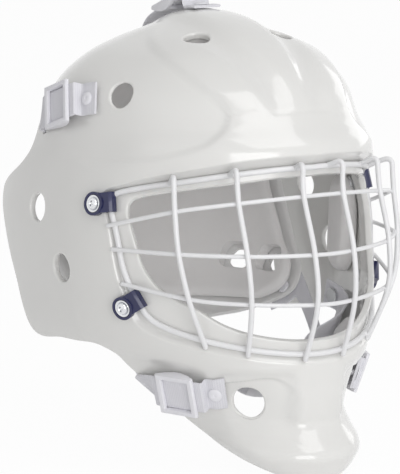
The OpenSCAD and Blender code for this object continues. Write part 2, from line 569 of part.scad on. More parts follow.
module backplate_foam() {
  color([0.8, 0.8, 0.8]) difference() {
    dish_wall(back_wall + 1.2, back_wall + 1.2 + back_foam, 2.4);
    at_anchors() translate([0, 0, -back_wall - 2.8]) cylinder(h = 8, d = rivet_head + 1.2);
    both() for (w = windows) window(w[0], w[1], 3);
  }
}

// Foam pads: a crowned cushion laid inside the shell, with its sides drawn in
pad_sides = 20;
pad_gap = 0.9;
pad_rings = [[0.3, 0], [0.7, 0], [0.93, 0.06], [1, 0.3], [0.97, 0.62], [0.84, 0.86], [0.6, 0.96], [0.3, 1]];
function round_square(a, n = 3) = pow(pow(abs(cos(a)), n) + pow(abs(sin(a)), n), -1 / n);
module pad(c, u, v, thick) {
  r = norm(c);
  swept([for (k = pad_rings) [for (j = [0:pad_sides - 1]) let(a = 360 * j / pad_sides, q = k[0] * round_square(a))
    skin(c + q * (cos(a) * u + sin(a) * v), -shell_wall - pad_gap - k[1] * thick, 0)]]);
}
module heads_in_pads() {
  at_clips() translate([0, 0, -30]) cylinder(h = 30, d = nut_d + 2);
  for (p = shell_rivet_spots) stand(skin(p), normal(p), [0.2, 0.3, 1])
    translate([0, 0, -shell_wall - 3.4]) cylinder(h = 8, d = rivet_head + 1.6);
}
module forehead_pad() { color(foam_colour) pad([0, -107, 92], [64, 0, 0], [0, 8, 19], forehead_foam); }
module crown_pad() {
  color(foam_colour) difference() {
    pad([0, -12, 152], [40, 0, 0], [0, 29, 2], crown_foam);
    heads_in_pads();
  }
}
module temple_pad() {
  difference() {
    pad([104, -14, 61], [0, 24, 0], [0, 0, 14], side_foam);
    heads_in_pads();
  }
}
module cheek_pad() {
  difference() {
    pad([107, -29.5, 5], [0, 14.5, 0], [0, 0, 36], side_foam);
    heads_in_pads();
  }
}
module temple_pad_left() { color(foam_colour) temple_pad(); }
module temple_pad_right() { color(foam_colour) mirror([1, 0, 0]) temple_pad(); }
module cheek_pad_left() { color(foam_colour) cheek_pad(); }
module cheek_pad_right() { color(foam_colour) mirror([1, 0, 0]) cheek_pad(); }
module jaw_pad() { pad([71, -86, -70], [10, 13, 3], [4, 0, 13], jaw_foam); }
module jaw_pad_left() { color(foam_colour) jaw_pad(); }
module jaw_pad_right() { color(foam_colour) mirror([1, 0, 0]) jaw_pad(); }

// Chin cup, its foam and straps, which swing on studs in the shell's inner wall
stud_d = 4.5;
stud_head = 11;
stud_dir = [102, -30, -46];
stud_foot = skin(stud_dir, -shell_wall);
strap_x = stud_foot.x - 9.1;
module stud_line() { translate([strap_x, stud_foot.y, stud_foot.z]) rotate([0, 90, 0]) children(); }
cup_axis = times([0, -70, -64], scale_of);
cup_look = unit([0, -0.62, -0.78]);
cup_up = [0, -cup_look.z, cup_look.y];
function cup_at(s, a, r, wide = 1.35, high = 0.72) = let(q = s * round_square(a, 2.6))
  cup_axis + r * unit(cup_look + q * (wide * cos(a) * [1, 0, 0] + high * sin(a) * cup_up));
module cup_wall_of(outer, inner, wide, high) {
  swept([for (k = [[0.25, 0], [0.55, 0], [0.8, 0], [0.97, 0], [1, 0.5], [0.97, 1], [0.8, 1], [0.55, 1], [0.25, 1]])
    [for (j = [0:23]) cup_at(k[0], -15 * j, outer + k[1] * (inner - outer), wide, high)]]);
}
side_look = [[0.6, -0.52, -0.6], [0.86, -0.3, -0.42], [0.98, 0.02, -0.2]];
function on_cup(v, t) = let(d = unit(v)) edges(cup_axis + (cup_r + cup_wall + 0.4) * d, d, t, chin_strap_w);
module chin_strap() {
  y = stud_foot.y;
  z = stud_foot.z;
  path = [[strap_x, y + 9, z + 2], [strap_x, y, z], [strap_x, y - 7, z - 2], [strap_x - 5, y - 15, z - 6],
    [strap_x - 22, y - 30, z - 14]];
  facing = [[1, 0, 0], [1, 0, 0], [1, 0, 0], [0.8, -0.4, -0.42], [0.6, -0.75, -0.3]];
  difference() {
    ribbon(concat([for (k = [0:4]) edges(path[k], facing[k], path[min(4, k + 1)] - path[max(0, k - 1)], chin_strap_w)],
      [on_cup(side_look[2], [-0.4, -1, -0.25]), on_cup(side_look[1], [-0.35, -1, -0.3]), on_cup(side_look[0], [-1, -0.8, -0.5])]));
    stud_line() cylinder(h = 12, d = stud_d + 2 * fit, center = true);
    cup_rivet_line() cylinder(h = 12, d = rivet_d + fit, center = true);
  }
}
module cup_rivet_line() {
  d = unit(side_look[1]);
  stand(cup_axis + (cup_r + cup_wall) * d, d, [0, 0, 1]) children();
}
module chin_strap_left() { color(web_colour) chin_strap(); }
module chin_strap_right() { color(web_colour) mirror([1, 0, 0]) chin_strap(); }
module chin_cup() {
  color(web_colour) difference() {
    cup_wall_of(cup_r + cup_wall, cup_r, 1.9, 0.72);
    both() cup_rivet_line() cylinder(h = 12, d = rivet_d + fit, center = true);
  }
}
module chin_cup_foam() {
  color(foam_colour) difference() {
    cup_wall_of(cup_r - 0.8, cup_r - cup_foam, 1.75, 0.62);
    both() cup_rivet_line() translate([0, 0, -cup_wall - 2.6]) cylinder(h = 6, d = rivet_head + 1);
  }
}
module chin_cup_rivets() {
  color(web_colour) both() cup_rivet_line() rivet(-cup_wall - 0.8, strap_t + 0.6);
}
module chin_studs() {
  color([0.7, 0.71, 0.72]) both() stud_line() {
    translate([0, 0, -0.4]) cylinder(h = stud_foot.x - strap_x + shell_wall - 1.6, d = stud_d);
    translate([0, 0, -fit - 1.6]) cylinder(h = 1.6, d = stud_head);
    translate([0, 0, strap_t + fit]) cylinder(h = stud_foot.x - strap_x - strap_t - 2.4, d = stud_d + 4);
  }
}

shell();
cage_rim();
cage_uprights();
cage_crossbars();
upper_clip_right();
upper_clip_left();
lower_clip_right();
lower_clip_left();
cage_screws();
cup_washers();
cage_nuts();
top_strap();
upper_strap_right();
upper_strap_left();
lower_strap_right();
lower_strap_left();
top_slide();
upper_slide_right();
upper_slide_left();
lower_slide_right();
lower_slide_left();
shell_rivets();
backplate();
backplate_foam();
backplate_rivets();
forehead_pad();
crown_pad();
temple_pad_right();
temple_pad_left();
cheek_pad_right();
cheek_pad_left();
jaw_pad_right();
jaw_pad_left();
chin_cup();
chin_cup_foam();
chin_strap_right();
chin_strap_left();
chin_cup_rivets();
chin_studs();
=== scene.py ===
import math

import bmesh
import bpy
import numpy as np
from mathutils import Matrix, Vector


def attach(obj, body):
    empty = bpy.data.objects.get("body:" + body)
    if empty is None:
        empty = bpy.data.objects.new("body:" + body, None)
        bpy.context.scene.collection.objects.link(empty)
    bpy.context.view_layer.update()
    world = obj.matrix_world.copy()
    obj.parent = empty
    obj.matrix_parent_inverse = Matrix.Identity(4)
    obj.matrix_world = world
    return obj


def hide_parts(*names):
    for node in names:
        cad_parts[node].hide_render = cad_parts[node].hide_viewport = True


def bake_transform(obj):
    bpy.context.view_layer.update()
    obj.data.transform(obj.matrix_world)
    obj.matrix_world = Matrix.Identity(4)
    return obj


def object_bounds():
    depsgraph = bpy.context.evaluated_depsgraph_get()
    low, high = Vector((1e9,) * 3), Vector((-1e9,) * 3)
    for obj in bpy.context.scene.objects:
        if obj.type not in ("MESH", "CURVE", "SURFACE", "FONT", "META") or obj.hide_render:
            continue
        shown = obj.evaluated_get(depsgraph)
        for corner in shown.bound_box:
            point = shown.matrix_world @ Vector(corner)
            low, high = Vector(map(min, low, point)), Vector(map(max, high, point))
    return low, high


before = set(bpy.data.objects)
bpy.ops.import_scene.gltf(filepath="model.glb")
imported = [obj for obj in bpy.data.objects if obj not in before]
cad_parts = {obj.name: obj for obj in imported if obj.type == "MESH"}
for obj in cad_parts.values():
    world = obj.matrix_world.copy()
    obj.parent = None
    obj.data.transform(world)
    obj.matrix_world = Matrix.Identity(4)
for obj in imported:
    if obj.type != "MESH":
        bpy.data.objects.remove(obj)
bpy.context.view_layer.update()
print("frame loaded:", len(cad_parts), "nodes")
mm = 0.001  # the shapes below are worked out in millimetres

# Camera first, at the photograph's angle: metres and degrees, lens and sensor in millimetres
cameraSet = {"distance": 1.57, "azimuth": -34.85, "elevation": 8.67, "lens": 172.8, "sensor": 36.0,
             "clip": (0.05, 30)}
az, el = math.radians(cameraSet["azimuth"]), math.radians(cameraSet["elevation"])
lookFrom = Vector((math.sin(az) * math.cos(el), -math.cos(az) * math.cos(el), math.sin(el)))
lookFrom *= cameraSet["distance"]
camera = bpy.data.objects.new("camera", bpy.data.cameras.new("camera"))
camera.data.lens = cameraSet["lens"]
camera.data.sensor_width = cameraSet["sensor"]
camera.data.clip_start, camera.data.clip_end = cameraSet["clip"]
camera.location = lookFrom
camera.rotation_euler = (-lookFrom).to_track_quat("-Z", "Y").to_euler()
bpy.context.scene.collection.objects.link(camera)
bpy.context.scene.camera = camera
bpy.context.scene.view_settings.view_transform = "Standard"


# Small maths that every piece shares
def vec(*v):
    return np.array(v, float)


def unit(v):
    return v / np.linalg.norm(v, axis=-1, keepdims=True)


def ease(a, b, x):  # 0 before a, 1 after b, smooth between
    t = np.clip((x - a) / (b - a), 0, 1)
    return t * t * (3 - 2 * t)


def hill(x, width):
    return np.exp(-((x / width) ** 2))


def curve(table, at):  # smooth curve through rows whose first number is the station
    k = np.asarray(table, float)
    at = np.clip(np.asarray(at, float), k[0, 0], k[-1, 0])
    i = np.clip(np.searchsorted(k[:, 0], at, side="right") - 1, 0, len(k) - 2)
    slope = np.zeros_like(k)
    slope[1:-1] = (k[2:] - k[:-2]) / (k[2:, :1] - k[:-2, :1])
    h = (k[i + 1, 0] - k[i, 0])[..., None]
    s = (at - k[i, 0])[..., None] / h
    out = (2 * s**3 - 3 * s**2 + 1) * k[i] + (s**3 - 2 * s**2 + s) * h * slope[i]
    out = out + (3 * s**2 - 2 * s**3) * k[i + 1] + (s**3 - s**2) * h * slope[i + 1]
    return out[..., 1:]


def through(points, steps=14):
    k = [[i, *p] for i, p in enumerate(points)]
    return curve(k, np.linspace(0, len(points) - 1, (len(points) - 1) * steps + 1))


def flipX(p):
    return np.asarray(p) * vec(-1, 1, 1)


def frameAt(p, n, ahead):  # columns x, y, z of a frame whose z is n and x as near to ahead as it can be
    z = unit(np.asarray(n, float))
    x = unit(np.asarray(ahead, float) - np.dot(ahead, z) * z)
    return np.asarray(p, float), np.stack([x, np.cross(z, x), z], axis=1)


def turns(sides):  # angles all round
    return np.linspace(0, 2 * math.pi, sides, endpoint=False)


def around(a, u, v):  # points at those angles on the ellipse with half axes u and v
    return np.cos(a)[:, None] * u + np.sin(a)[:, None] * v


def stood(points, p, n, ahead):  # points of a local shape, stood at p with its z along n
    at, axes = frameAt(p, n, ahead)
    return np.asarray(points, float) @ axes.T + at


# Mesh making
def makePiece(name, points, faces, places=None):
    mesh = bpy.data.meshes.new(name)
    mesh.from_pydata((np.asarray(points) * mm).tolist(), [], [list(map(int, f)) for f in faces])
    if places is not None:
        layer = mesh.attributes.new("place", "FLOAT_VECTOR", "POINT")
        layer.data.foreach_set("vector", np.asarray(places, np.float32).ravel())
    mesh.validate()
    piece = bpy.data.objects.new(name, mesh)
    bpy.context.scene.collection.objects.link(piece)
    return piece


def gridFaces(n, m, closedN=False, closedM=True):
    i, j = np.meshgrid(np.arange(n if closedN else n - 1), np.arange(m if closedM else m - 1), indexing="ij")
    i, j = i.ravel(), j.ravel()
    a, b = i * m + j, i * m + (j + 1) % m
    c, d = ((i + 1) % n) * m + (j + 1) % m, ((i + 1) % n) * m + j
    return np.stack([a, b, c, d], axis=1).tolist()


def joined(*lumps):  # several (points, faces) as one
    points, faces, n = [], [], 0
    for p, f in lumps:
        points.append(np.asarray(p, float).reshape(-1, 3))
        faces += [[i + n for i in q] for q in f]
        n += len(points[-1])
    return np.concatenate(points), faces


def turnedOut(lump):  # a lump is (points, faces); its faces are made to look outwards
    p, f = lump
    tri = np.array([[q[0], q[k], q[k + 1]] for q in f for k in range(1, len(q) - 1)])
    v = np.asarray(p)[tri]
    volume = np.einsum("ij,ij->i", v[:, 0], np.cross(v[:, 1], v[:, 2])).sum()
    return (p, f) if volume > 0 else (p, [q[::-1] for q in f])


def mirrored(lump):
    p, f = lump
    return flipX(p), [q[::-1] for q in f]


def bothHands(lump, middle=False):
    return [lump] if middle else [lump, mirrored(lump)]


def paired(lumps):
    return joined(*lumps, *[mirrored(lump) for lump in lumps])


def sweep(rings, closed=False):
    rings = np.asarray(rings, float)
    n, m = rings.shape[:2]
    faces = gridFaces(n, m, closedN=closed)
    points = rings.reshape(-1, 3)
    if not closed:
        faces += [list(range(m))[::-1], list(range((n - 1) * m, n * m))]
    return turnedOut((points, faces))


def prism(outline, low, high):  # outline in x and z, along y
    k = len(outline)
    points = [[x, y, z] for y in (low, high) for x, z in outline]
    faces = [list(range(k)), list(range(2 * k - 1, k - 1, -1))]
    faces += [[j, j + k, (j + 1) % k + k, (j + 1) % k] for j in range(k)]
    return turnedOut((np.array(points), faces))


def lathe(profile, sides, p=(0, 0, 0), n=(0, 0, 1), ahead=(1, 0, 0)):  # profile in radius and z
    tiny = 1e-6
    inner = [q for q in profile if q[0] > tiny]
    points = [around(turns(sides), vec(r, 0, 0), vec(0, r, 0)) + vec(0, 0, z) for r, z in inner]
    ends = [profile[k][0] <= tiny for k in (0, -1)]
    faces = gridFaces(len(inner), sides, closedN=not any(ends))
    for k, onAxis in zip((0, -1), ends):  # an end on the axis is closed by a fan of triangles
        if onAxis:
            base, tip = (len(inner) - 1) * sides if k else 0, sum(map(len, points))
            fan = [[base + j, base + (j + 1) % sides, tip] for j in range(sides)]
            faces += fan if k else [q[::-1] for q in fan]
            points.append([[0, 0, profile[k][1]]])
    return turnedOut((stood(np.concatenate(points), p, n, ahead), faces))


askew = (0.2, 0.3, 1)  # where a lathe's first station looks when it doesn't matter


def drum(r, low, high):
    return [(0, low), (r, low), (r, high), (0, high)]


def rod(p, n, d, low, high, sides=32):
    return lathe(drum(d / 2, low, high), sides, p, n, askew)


def tube(path, d, sides=20, closed=False, up=None):
    path = np.asarray(path, float)
    if closed:
        t = unit(np.roll(path, -1, 0) - np.roll(path, 1, 0))
    else:
        t = unit(np.gradient(path, axis=0))
    if up is None:
        b = [unit(np.cross(t[0], vec(0.3, 0.2, 1) if abs(t[0][2]) < 0.8 else vec(1, 0.2, 0)))]
        for ahead in t[1:]:
            b.append(unit(b[-1] - np.dot(b[-1], ahead) * ahead))
        b = np.array(b)
    else:
        b = unit(np.cross(t, up))
    ring = around(turns(sides), b[:, None], np.cross(b, t)[:, None])
    rings = path[:, None] + d / 2 * ring
    if not closed:
        caps = [math.sin(math.radians(a)) for a in (18, 42, 66)]  # rounded ends
        first = [path[0] - t[0] * d / 2 * math.sqrt(1 - s * s) + d / 2 * s * ring[0] for s in caps]
        last = [path[-1] + t[-1] * d / 2 * math.sqrt(1 - s * s) + d / 2 * s * ring[-1] for s in caps[::-1]]
        rings = np.concatenate([first, rings, last])
    return sweep(rings, closed)


def baked(piece):  # applies the piece's modifiers
    graph = bpy.context.evaluated_depsgraph_get()
    mesh = bpy.data.meshes.new_from_object(piece.evaluated_get(graph))
    piece.modifiers.clear()
    old = piece.data
    piece.data = mesh
    bpy.data.meshes.remove(old)
    return piece


def bevelled(piece, width, angle):
    m = piece.modifiers.new("bevel", "BEVEL")
    m.width, m.segments = width * mm, 3
    m.limit_method, m.angle_limit = "ANGLE", math.radians(angle)
    m.use_clamp_overlap = True
    return baked(piece)


def combined(piece, lump, operation="DIFFERENCE"):  # the cut's faces get index 1, for smoothed to tell them
    tool = makePiece("tool", *lump)
    for poly in tool.data.polygons:
        poly.material_index = 1
    for _ in range(2):
        tool.data.materials.append(None)
    m = piece.modifiers.new("cut", "BOOLEAN")
    m.operation, m.solver, m.object = operation, "MANIFOLD", tool
    m.material_mode = "INDEX"
    baked(piece)
    bpy.data.objects.remove(tool)
    return piece


def pointsOf(piece):  # in millimetres
    flat = np.empty(len(piece.data.vertices) * 3)
    piece.data.vertices.foreach_get("co", flat)
    return flat.reshape(-1, 3) / mm


def moved(piece, p, n, ahead, flip):
    out = stood(pointsOf(piece), p, n, ahead) * mm
    if flip:
        out = flipX(out)
        piece.data.flip_normals()
    piece.data.vertices.foreach_set("co", out.ravel())
    piece.data.update()
    return piece


def smoothed(piece, angle, splitCuts=False):
    mesh = piece.data
    mesh.polygons.foreach_set("use_smooth", [True] * len(mesh.polygons))
    mesh.set_sharp_from_angle(angle=math.radians(angle))
    if splitCuts:  # a cut's rounding doesn't bend the light on the face beside it
        bm = bmesh.new()
        bm.from_mesh(mesh)
        for e in bm.edges:
            if len({f.material_index for f in e.link_faces}) > 1:
                e.smooth = False
        bm.to_mesh(mesh)
        bm.free()
    mesh.polygons.foreach_set("material_index", [0] * len(mesh.polygons))
    mesh.update()
    return piece


# Finishes
class Flow:  # a shader socket that sums can be written with
    def __init__(self, finish, socket):
        self.finish, self.socket = finish, socket

    def sum(self, operation, *others):
        return self.finish.add("ShaderNodeMath", {"operation": operation}, dict(enumerate((self, *others))))

    def __add__(self, other):
        return self.sum("ADD", other)

    def __mul__(self, other):
        return self.sum("MULTIPLY", other)

    __radd__, __rmul__ = __add__, __mul__

    def __sub__(self, other):
        return self.sum("SUBTRACT", other)

    def __rsub__(self, other):
        return self.finish.add("ShaderNodeMath", {"operation": "SUBTRACT"}, {0: other, 1: self})

    def sine(self):
        return self.sum("SINE")

    def absolute(self):
        return self.sum("ABSOLUTE")

    def larger(self, other):
        return self.sum("MAXIMUM", other)


class Nodes:  # the nodes of a material or of the world
    def __init__(self, owner, shader):
        owner.use_nodes = True
        self.tree = owner.node_tree
        self.shader = self.tree.nodes[shader]

    def put(self, target, value):
        if isinstance(value, Flow):
            self.tree.links.new(value.socket, target)
        else:
            target.default_value = (*value, 1) if target.type == "RGBA" else value

    def add(self, kind, settings=None, sockets=None, out=0):
        node = self.tree.nodes.new(kind)
        for key, value in (settings or {}).items():
            setattr(node, key, value)
        for key, value in (sockets or {}).items():
            self.put(node.inputs[key], value)
        return Flow(self, node.outputs[out])

    def feed(self, **values):
        for key, value in values.items():
            self.put(self.shader.inputs[key.replace("_", " ")], value)
        return self

    def seen(self):  # 1 for what the camera, metal and glass look at, 0 for what lights the mask
        kinds = ("Camera", "Glossy", "Transmission")
        first, second, third = [self.add("ShaderNodeLightPath", out=f"Is {kind} Ray") for kind in kinds]
        return first.larger(second).larger(third)


class Finish(Nodes):
    def __init__(self, name, **fixed):
        self.material = bpy.data.materials.new(name)
        super().__init__(self.material, "Principled BSDF")
        self.feed(**fixed)

    def spot(self):  # the piece's own coordinates, in metres
        return self.add("ShaderNodeTexCoord", out="Object")

    def noise(self, size, detail, rough=0.5):  # size in millimetres
        sockets = {"Vector": self.spot(), "Scale": 1 / (size * mm), "Detail": detail, "Roughness": rough}
        return self.add("ShaderNodeTexNoise", {}, sockets)

    def place(self):  # across, along and through the webbing, in millimetres
        flow = self.add("ShaderNodeAttribute", {"attribute_name": "place"}, out="Vector")
        node = self.add("ShaderNodeSeparateXYZ", {}, {0: flow}).socket.node
        return [Flow(self, node.outputs[k]) for k in range(3)]

    def mix(self, factor, a, b):
        return self.add("ShaderNodeMix", {"data_type": "RGBA"}, {0: factor, 6: a, 7: b}, out=2)

    def bump(self, height, distance, strength):  # distance in millimetres
        sockets = {"Height": height, "Distance": distance * mm, "Strength": strength}
        return self.add("ShaderNodeBump", {}, sockets)


# Colours, then roughness, relief in mm and the sizes of the clouds, grain and scratches in mm
shellFinish = {"colour": (0.8, 0.795, 0.778), "shade": (0.775, 0.77, 0.752), "rough": 0.13, "peel": 0.012,
               "coat": 0.6, "grain": 16, "fine": 1.6}
wireFinish = {"colour": (0.85, 0.85, 0.86), "shade": (0.8, 0.8, 0.815), "rough": 0.34, "peel": 0.03,
              "coat": 0.2, "grain": 3.5, "fine": 0.7}
clipFinish = {"colour": (0.006, 0.008, 0.05), "shade": (0.012, 0.016, 0.09), "rough": 0.28, "peel": 0.02,
              "coat": 0.4, "grain": 6, "fine": 0.8}
# webbing gap colour: painted shade for the weave's low places between yarns, and also the darker tone of its
# random cloud
webFinish = {"colour": (0.85, 0.845, 0.88), "gap": (0.7, 0.695, 0.745), "rough": 0.72,
             "rib": 1.35, "twill": 2.7, "weave": 0.16, "fuzz": 0.35, "cloud": 9}
foamFinish = {"colour": (0.9, 0.885, 0.88), "shade": (0.85, 0.835, 0.83), "rough": 0.9,
              "nap": 0.5, "cell": 1.1, "cloud": 11, "pile": 0.12}
plateFinish = {"colour": (0.86, 0.855, 0.85), "shade": (0.83, 0.825, 0.82), "rough": 0.42}
buckleFinish = {"colour": (0.86, 0.855, 0.89), "shade": (0.82, 0.815, 0.86), "rough": 0.38}
satin = {"grain": 0.45, "cloud": 26, "peel": 0.02}
chromeFinish = {"colour": (0.78, 0.79, 0.81), "rough": 0.09, "scratch": 1.2}
steelFinish = {"colour": (0.6, 0.61, 0.62), "rough": 0.3, "scratch": 0.8}


def mouldedGloss(name, colour, shade, rough, peel, coat, grain, fine):
    f = Finish(name, Coat_Roughness=0.05, IOR=1.5)
    cloud = f.noise(grain * 3, 2)
    scuff = f.noise(fine * 2.2, 5, 0.65)  # dulls the coat in fine patches
    f.feed(Base_Color=f.mix(cloud, colour, shade), Coat_Weight=coat - 0.15 * scuff)
    f.feed(Roughness=rough + 0.06 * cloud + 0.05 * (scuff - 0.5))
    wave = f.noise(grain, 2) + 0.25 * f.noise(fine, 3)
    return f.feed(Normal=f.bump(wave, peel, 0.5)).material


def metal(name, colour, rough, scratch):
    f = Finish(name, Metallic=1.0)
    lines = f.noise(scratch, 4, 0.7)
    worn = tuple(0.9 * c for c in colour)
    f.feed(Base_Color=f.mix(lines, colour, worn), Roughness=rough + 0.08 * lines)
    return f.feed(Normal=f.bump(lines, 0.008, 0.4)).material


def woven(name, colour, gap, rough, rib, twill, weave, fuzz, cloud):
    f = Finish(name, Roughness=rough, Sheen_Weight=0.25, Sheen_Roughness=0.5)
    across, along, _ = f.place()
    turn = 2 * math.pi
    weft = along * (turn / rib)  # ribs along the strap, then the twill's leaning yarns
    lean = (across * (turn / twill)).sine().absolute() * 1.5
    yarn = (weft + lean + across * (turn / (twill * 0.5))).sine() * 0.5 + 0.5
    height = (weft.sine() * 0.5 + 0.5) * 0.45 + yarn * 0.55
    hairs = f.noise(fuzz, 3, 0.7)
    # painted shade: the weave's low places between the yarns are coloured towards the gap colour by their
    # height, then a random cloud darkens towards the same colour
    shadedWeave = f.mix(height * 0.75 + 0.25 * hairs, gap, colour)
    f.feed(Base_Color=f.mix(f.noise(cloud, 2) * 0.3, shadedWeave, gap))
    return f.feed(Normal=f.bump(height + 0.3 * hairs, weave, 0.8)).material


def lining(name, colour, shade, rough, nap, cell, cloud, pile):
    f = Finish(name, Sheen_Weight=0.35, Sheen_Roughness=0.6)
    hairs = f.noise(nap, 4, 0.75)
    patches = f.noise(cloud, 3)
    cells = f.add("ShaderNodeTexVoronoi", {"feature": "F1"}, {"Vector": f.spot(), "Scale": 1 / (cell * mm)})
    f.feed(Base_Color=f.mix(patches * 0.6 + hairs * 0.4, shade, colour), Roughness=rough - 0.1 * hairs)
    return f.feed(Normal=f.bump(cells * 0.5 + hairs * 0.6 + patches * 0.5, pile, 0.7)).material


def satinPlastic(name, colour, shade, rough, grain, cloud, peel):
    f = Finish(name, IOR=1.47)
    fine, patches = f.noise(grain, 3, 0.6), f.noise(cloud, 3)
    f.feed(Base_Color=f.mix(patches, colour, shade), Roughness=rough + 0.12 * (fine - 0.5) + 0.06 * patches)
    return f.feed(Normal=f.bump(fine, peel, 0.5)).material


finishes = {
    "gelcoat": mouldedGloss("white gelcoat", **shellFinish),
    "powder": mouldedGloss("white powder coat", **wireFinish),
    "navy": mouldedGloss("navy nylon", **clipFinish),
    "chrome": metal("polished chrome", **chromeFinish),
    "steel": metal("zinc steel", **steelFinish),
    "web": woven("lavender webbing", **webFinish),
    "lining": lining("brushed foam lining", **foamFinish),
    "plate": satinPlastic("pale plate", **plateFinish, **satin),
    "buckle": satinPlastic("buckle nylon", **buckleFinish, **satin),
}
print("finishes made:", len(finishes))


def dressed(piece, finish, body, slot, *nodes):  # a piece that names no body here is not attached to one
    piece.data.materials.clear()
    piece.data.materials.append(finishes[finish])
    if body:
        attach(piece, body)
    if nodes:
        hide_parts(*nodes)
    return piece


def finished(name, lump, angle, *look):  # a lump made into a piece, smoothed and dressed
    return dressed(smoothed(makePiece(name, *lump), angle), *look)


# The outer skin, as a radius by azimuth and elevation
skinShape = {"noseRound": 0.13, "noseSpan": (-20, -34), "sideBlend": -14,
             "crest": 3.6, "crestHalf": 6, "crestSpread": 13, "crestFlare": (100, 150),
             "crestRise": (92, 122), "crestBack": (60, -10),
             "lobe": 4, "lobeRise": (84, 108), "lobeTop": (126, 150), "lobeBack": (70, 10),
             "brow": 3, "browLevel": 73.5, "browWidth": 11, "browSide": (-30, -70),
             "panel": 3.5, "panelSide": (17, 25), "panelTop": (-66, -76), "panelFoot": (-116, -124),
             "panelFront": (-98, -113), "chin": 20, "chinDrop": (-102, -128), "chinFront": (-65, -112)}
# Elevation; radius ahead, aside and behind; roundness in front and behind
profile = [[-75, 158, 140, 150, 1.6, 2.2], [-60, 172, 134, 150, 1.5, 2.2], [-50, 186, 130, 150, 1.42, 2.3],
           [-45, 183.5, 128, 150, 1.4, 2.4], [-40, 178, 125, 150, 1.4, 2.6], [-36, 172, 124, 150, 1.4, 2.6],
           [-33, 167, 123, 149, 1.45, 2.7], [-29, 160, 122, 149, 1.6, 2.8], [-24, 154, 120.5, 149, 1.75, 3],
           [-12, 143, 116, 149, 1.95, 3.1], [0, 138, 115.5, 148, 2, 3.1], [12, 138, 118, 146, 2, 3.1],
           [22, 143, 121, 142, 2, 2.9], [30, 147, 124, 139, 2, 2.6], [40, 149.5, 134, 141, 2, 2.3],
           [52, 151, 145, 147, 2, 2.05], [68, 153, 148, 148, 2, 2], [90, 154, 154, 154, 2, 2]]
# Station, then x, y, z: the cage port's edge, the outer edge of the cage's seat, and the shell's trim edge
port = [[0, 0, -129, 58.5], [0.06, 22, -127, 58.5], [0.13, 46, -118, 56], [0.22, 74, -95, 51],
        [0.29, 91, -73, 46], [0.325, 97, -62, 41], [0.36, 99, -60, 33], [0.41, 98, -63, 22],
        [0.46, 97, -67, 11], [0.52, 95, -71, -2], [0.57, 91, -77, -12], [0.62, 86, -84, -19],
        [0.67, 79, -93, -25], [0.72, 73, -101, -29], [0.8, 59, -112, -39], [0.87, 44, -122, -45],
        [0.94, 22, -132, -49], [1, 0, -137, -50]]
seat = [[0, 0, -133, 68.5], [0.06, 25, -129, 68], [0.13, 48, -118, 65.5], [0.22, 76, -95, 59.5],
        [0.29, 99, -62, 51], [0.325, 106, -45, 43.5], [0.36, 107, -47, 34], [0.41, 107, -51, 24],
        [0.46, 107, -54, 13], [0.52, 106, -56, -1], [0.57, 104, -59, -14], [0.62, 100, -63, -27],
        [0.67, 96, -67, -39], [0.72, 88, -78, -46.5], [0.8, 70, -102, -53], [0.87, 47, -123, -58],
        [0.94, 24, -135, -60.5], [1, 0, -140, -62]]
trim = [[0, 0, 38, 149], [0.08, 44, 42, 139], [0.16, 78, 47, 115], [0.23, 96, 49, 90],
        [0.28, 103, 52, 69], [0.315, 107, 61, 53], [0.345, 108, 84, 39], [0.37, 110, 86, 28],
        [0.42, 111, 76, 5], [0.48, 111, 63, -25], [0.535, 107, 50, -59], [0.56, 106, 38, -64],
        [0.61, 106, 9, -60], [0.655, 104, -23, -59], [0.69, 97, -36, -64], [0.73, 86, -42, -75],
        [0.79, 71, -57, -92], [0.84, 60, -68, -107], [0.885, 52, -80, -119], [0.93, 40, -94, -130],
        [0.965, 24, -110, -137], [1, 0, -119, -140]]


def sculpt(x, y, z):  # what stands proud of the profile, at x off the middle
    s = skinShape
    edge = s["crestHalf"] + s["crestSpread"] * ease(*s["crestFlare"], z)
    crest = s["crest"] * ease(*s["crestRise"], z) * (1 - ease(edge - 4, edge + 8, x))
    lobe = s["lobe"] * ease(edge + 10, edge + 26, x) * ease(*s["lobeRise"], z) * (1 - ease(*s["lobeTop"], z))
    brow = s["brow"] * hill(z - s["browLevel"], s["browWidth"]) * ease(*s["browSide"], y)
    panel = s["panel"] * ease(*s["panelSide"], x) * ease(*s["panelTop"], z) * (1 - ease(*s["panelFoot"], z))
    crest, lobe = crest * ease(*s["crestBack"], y), lobe * ease(*s["lobeBack"], y)
    return crest + lobe + brow - panel * ease(*s["panelFront"], y)


def skin(v, off=0.0, carved=1.0):  # the skin's point on the ray through v, off it by so many millimetres
    v = np.asarray(v, float)
    a = np.arctan2(v[..., 0], -v[..., 1])
    e = np.arctan2(v[..., 2], np.hypot(v[..., 0], v[..., 1]))
    deg = np.degrees(e)
    p = curve(profile, deg)
    w = 1 / (1 + np.exp(skinShape["sideBlend"] * np.cos(a)))
    n = p[..., 3] * w + p[..., 4] * (1 - w)
    ahead = np.where(np.cos(a) > 0, p[..., 0], p[..., 2])
    k = skinShape["noseRound"] * ease(*skinShape["noseSpan"], deg) + 0.000001
    s = (np.sqrt(np.sin(a) ** 2 + k * k) - k) / (np.sqrt(1 + k * k) - k)
    r = ((np.abs(np.cos(a)) / ahead) ** n + (s / p[..., 1]) ** n) ** (-1 / n)
    x, y, z = np.abs(r * np.sin(a) * np.cos(e)), -r * np.cos(a) * np.cos(e), r * np.sin(e)
    q = r + carved * sculpt(x, y, z)
    h = q * np.cos(e) + skinShape["chin"] * ease(*skinShape["chinDrop"], z) * ease(*skinShape["chinFront"], y)
    out = np.stack([h * np.sin(a), -h * np.cos(a), q * np.sin(e)], axis=-1)
    return out + np.asarray(off, float)[..., None] * unit(out)


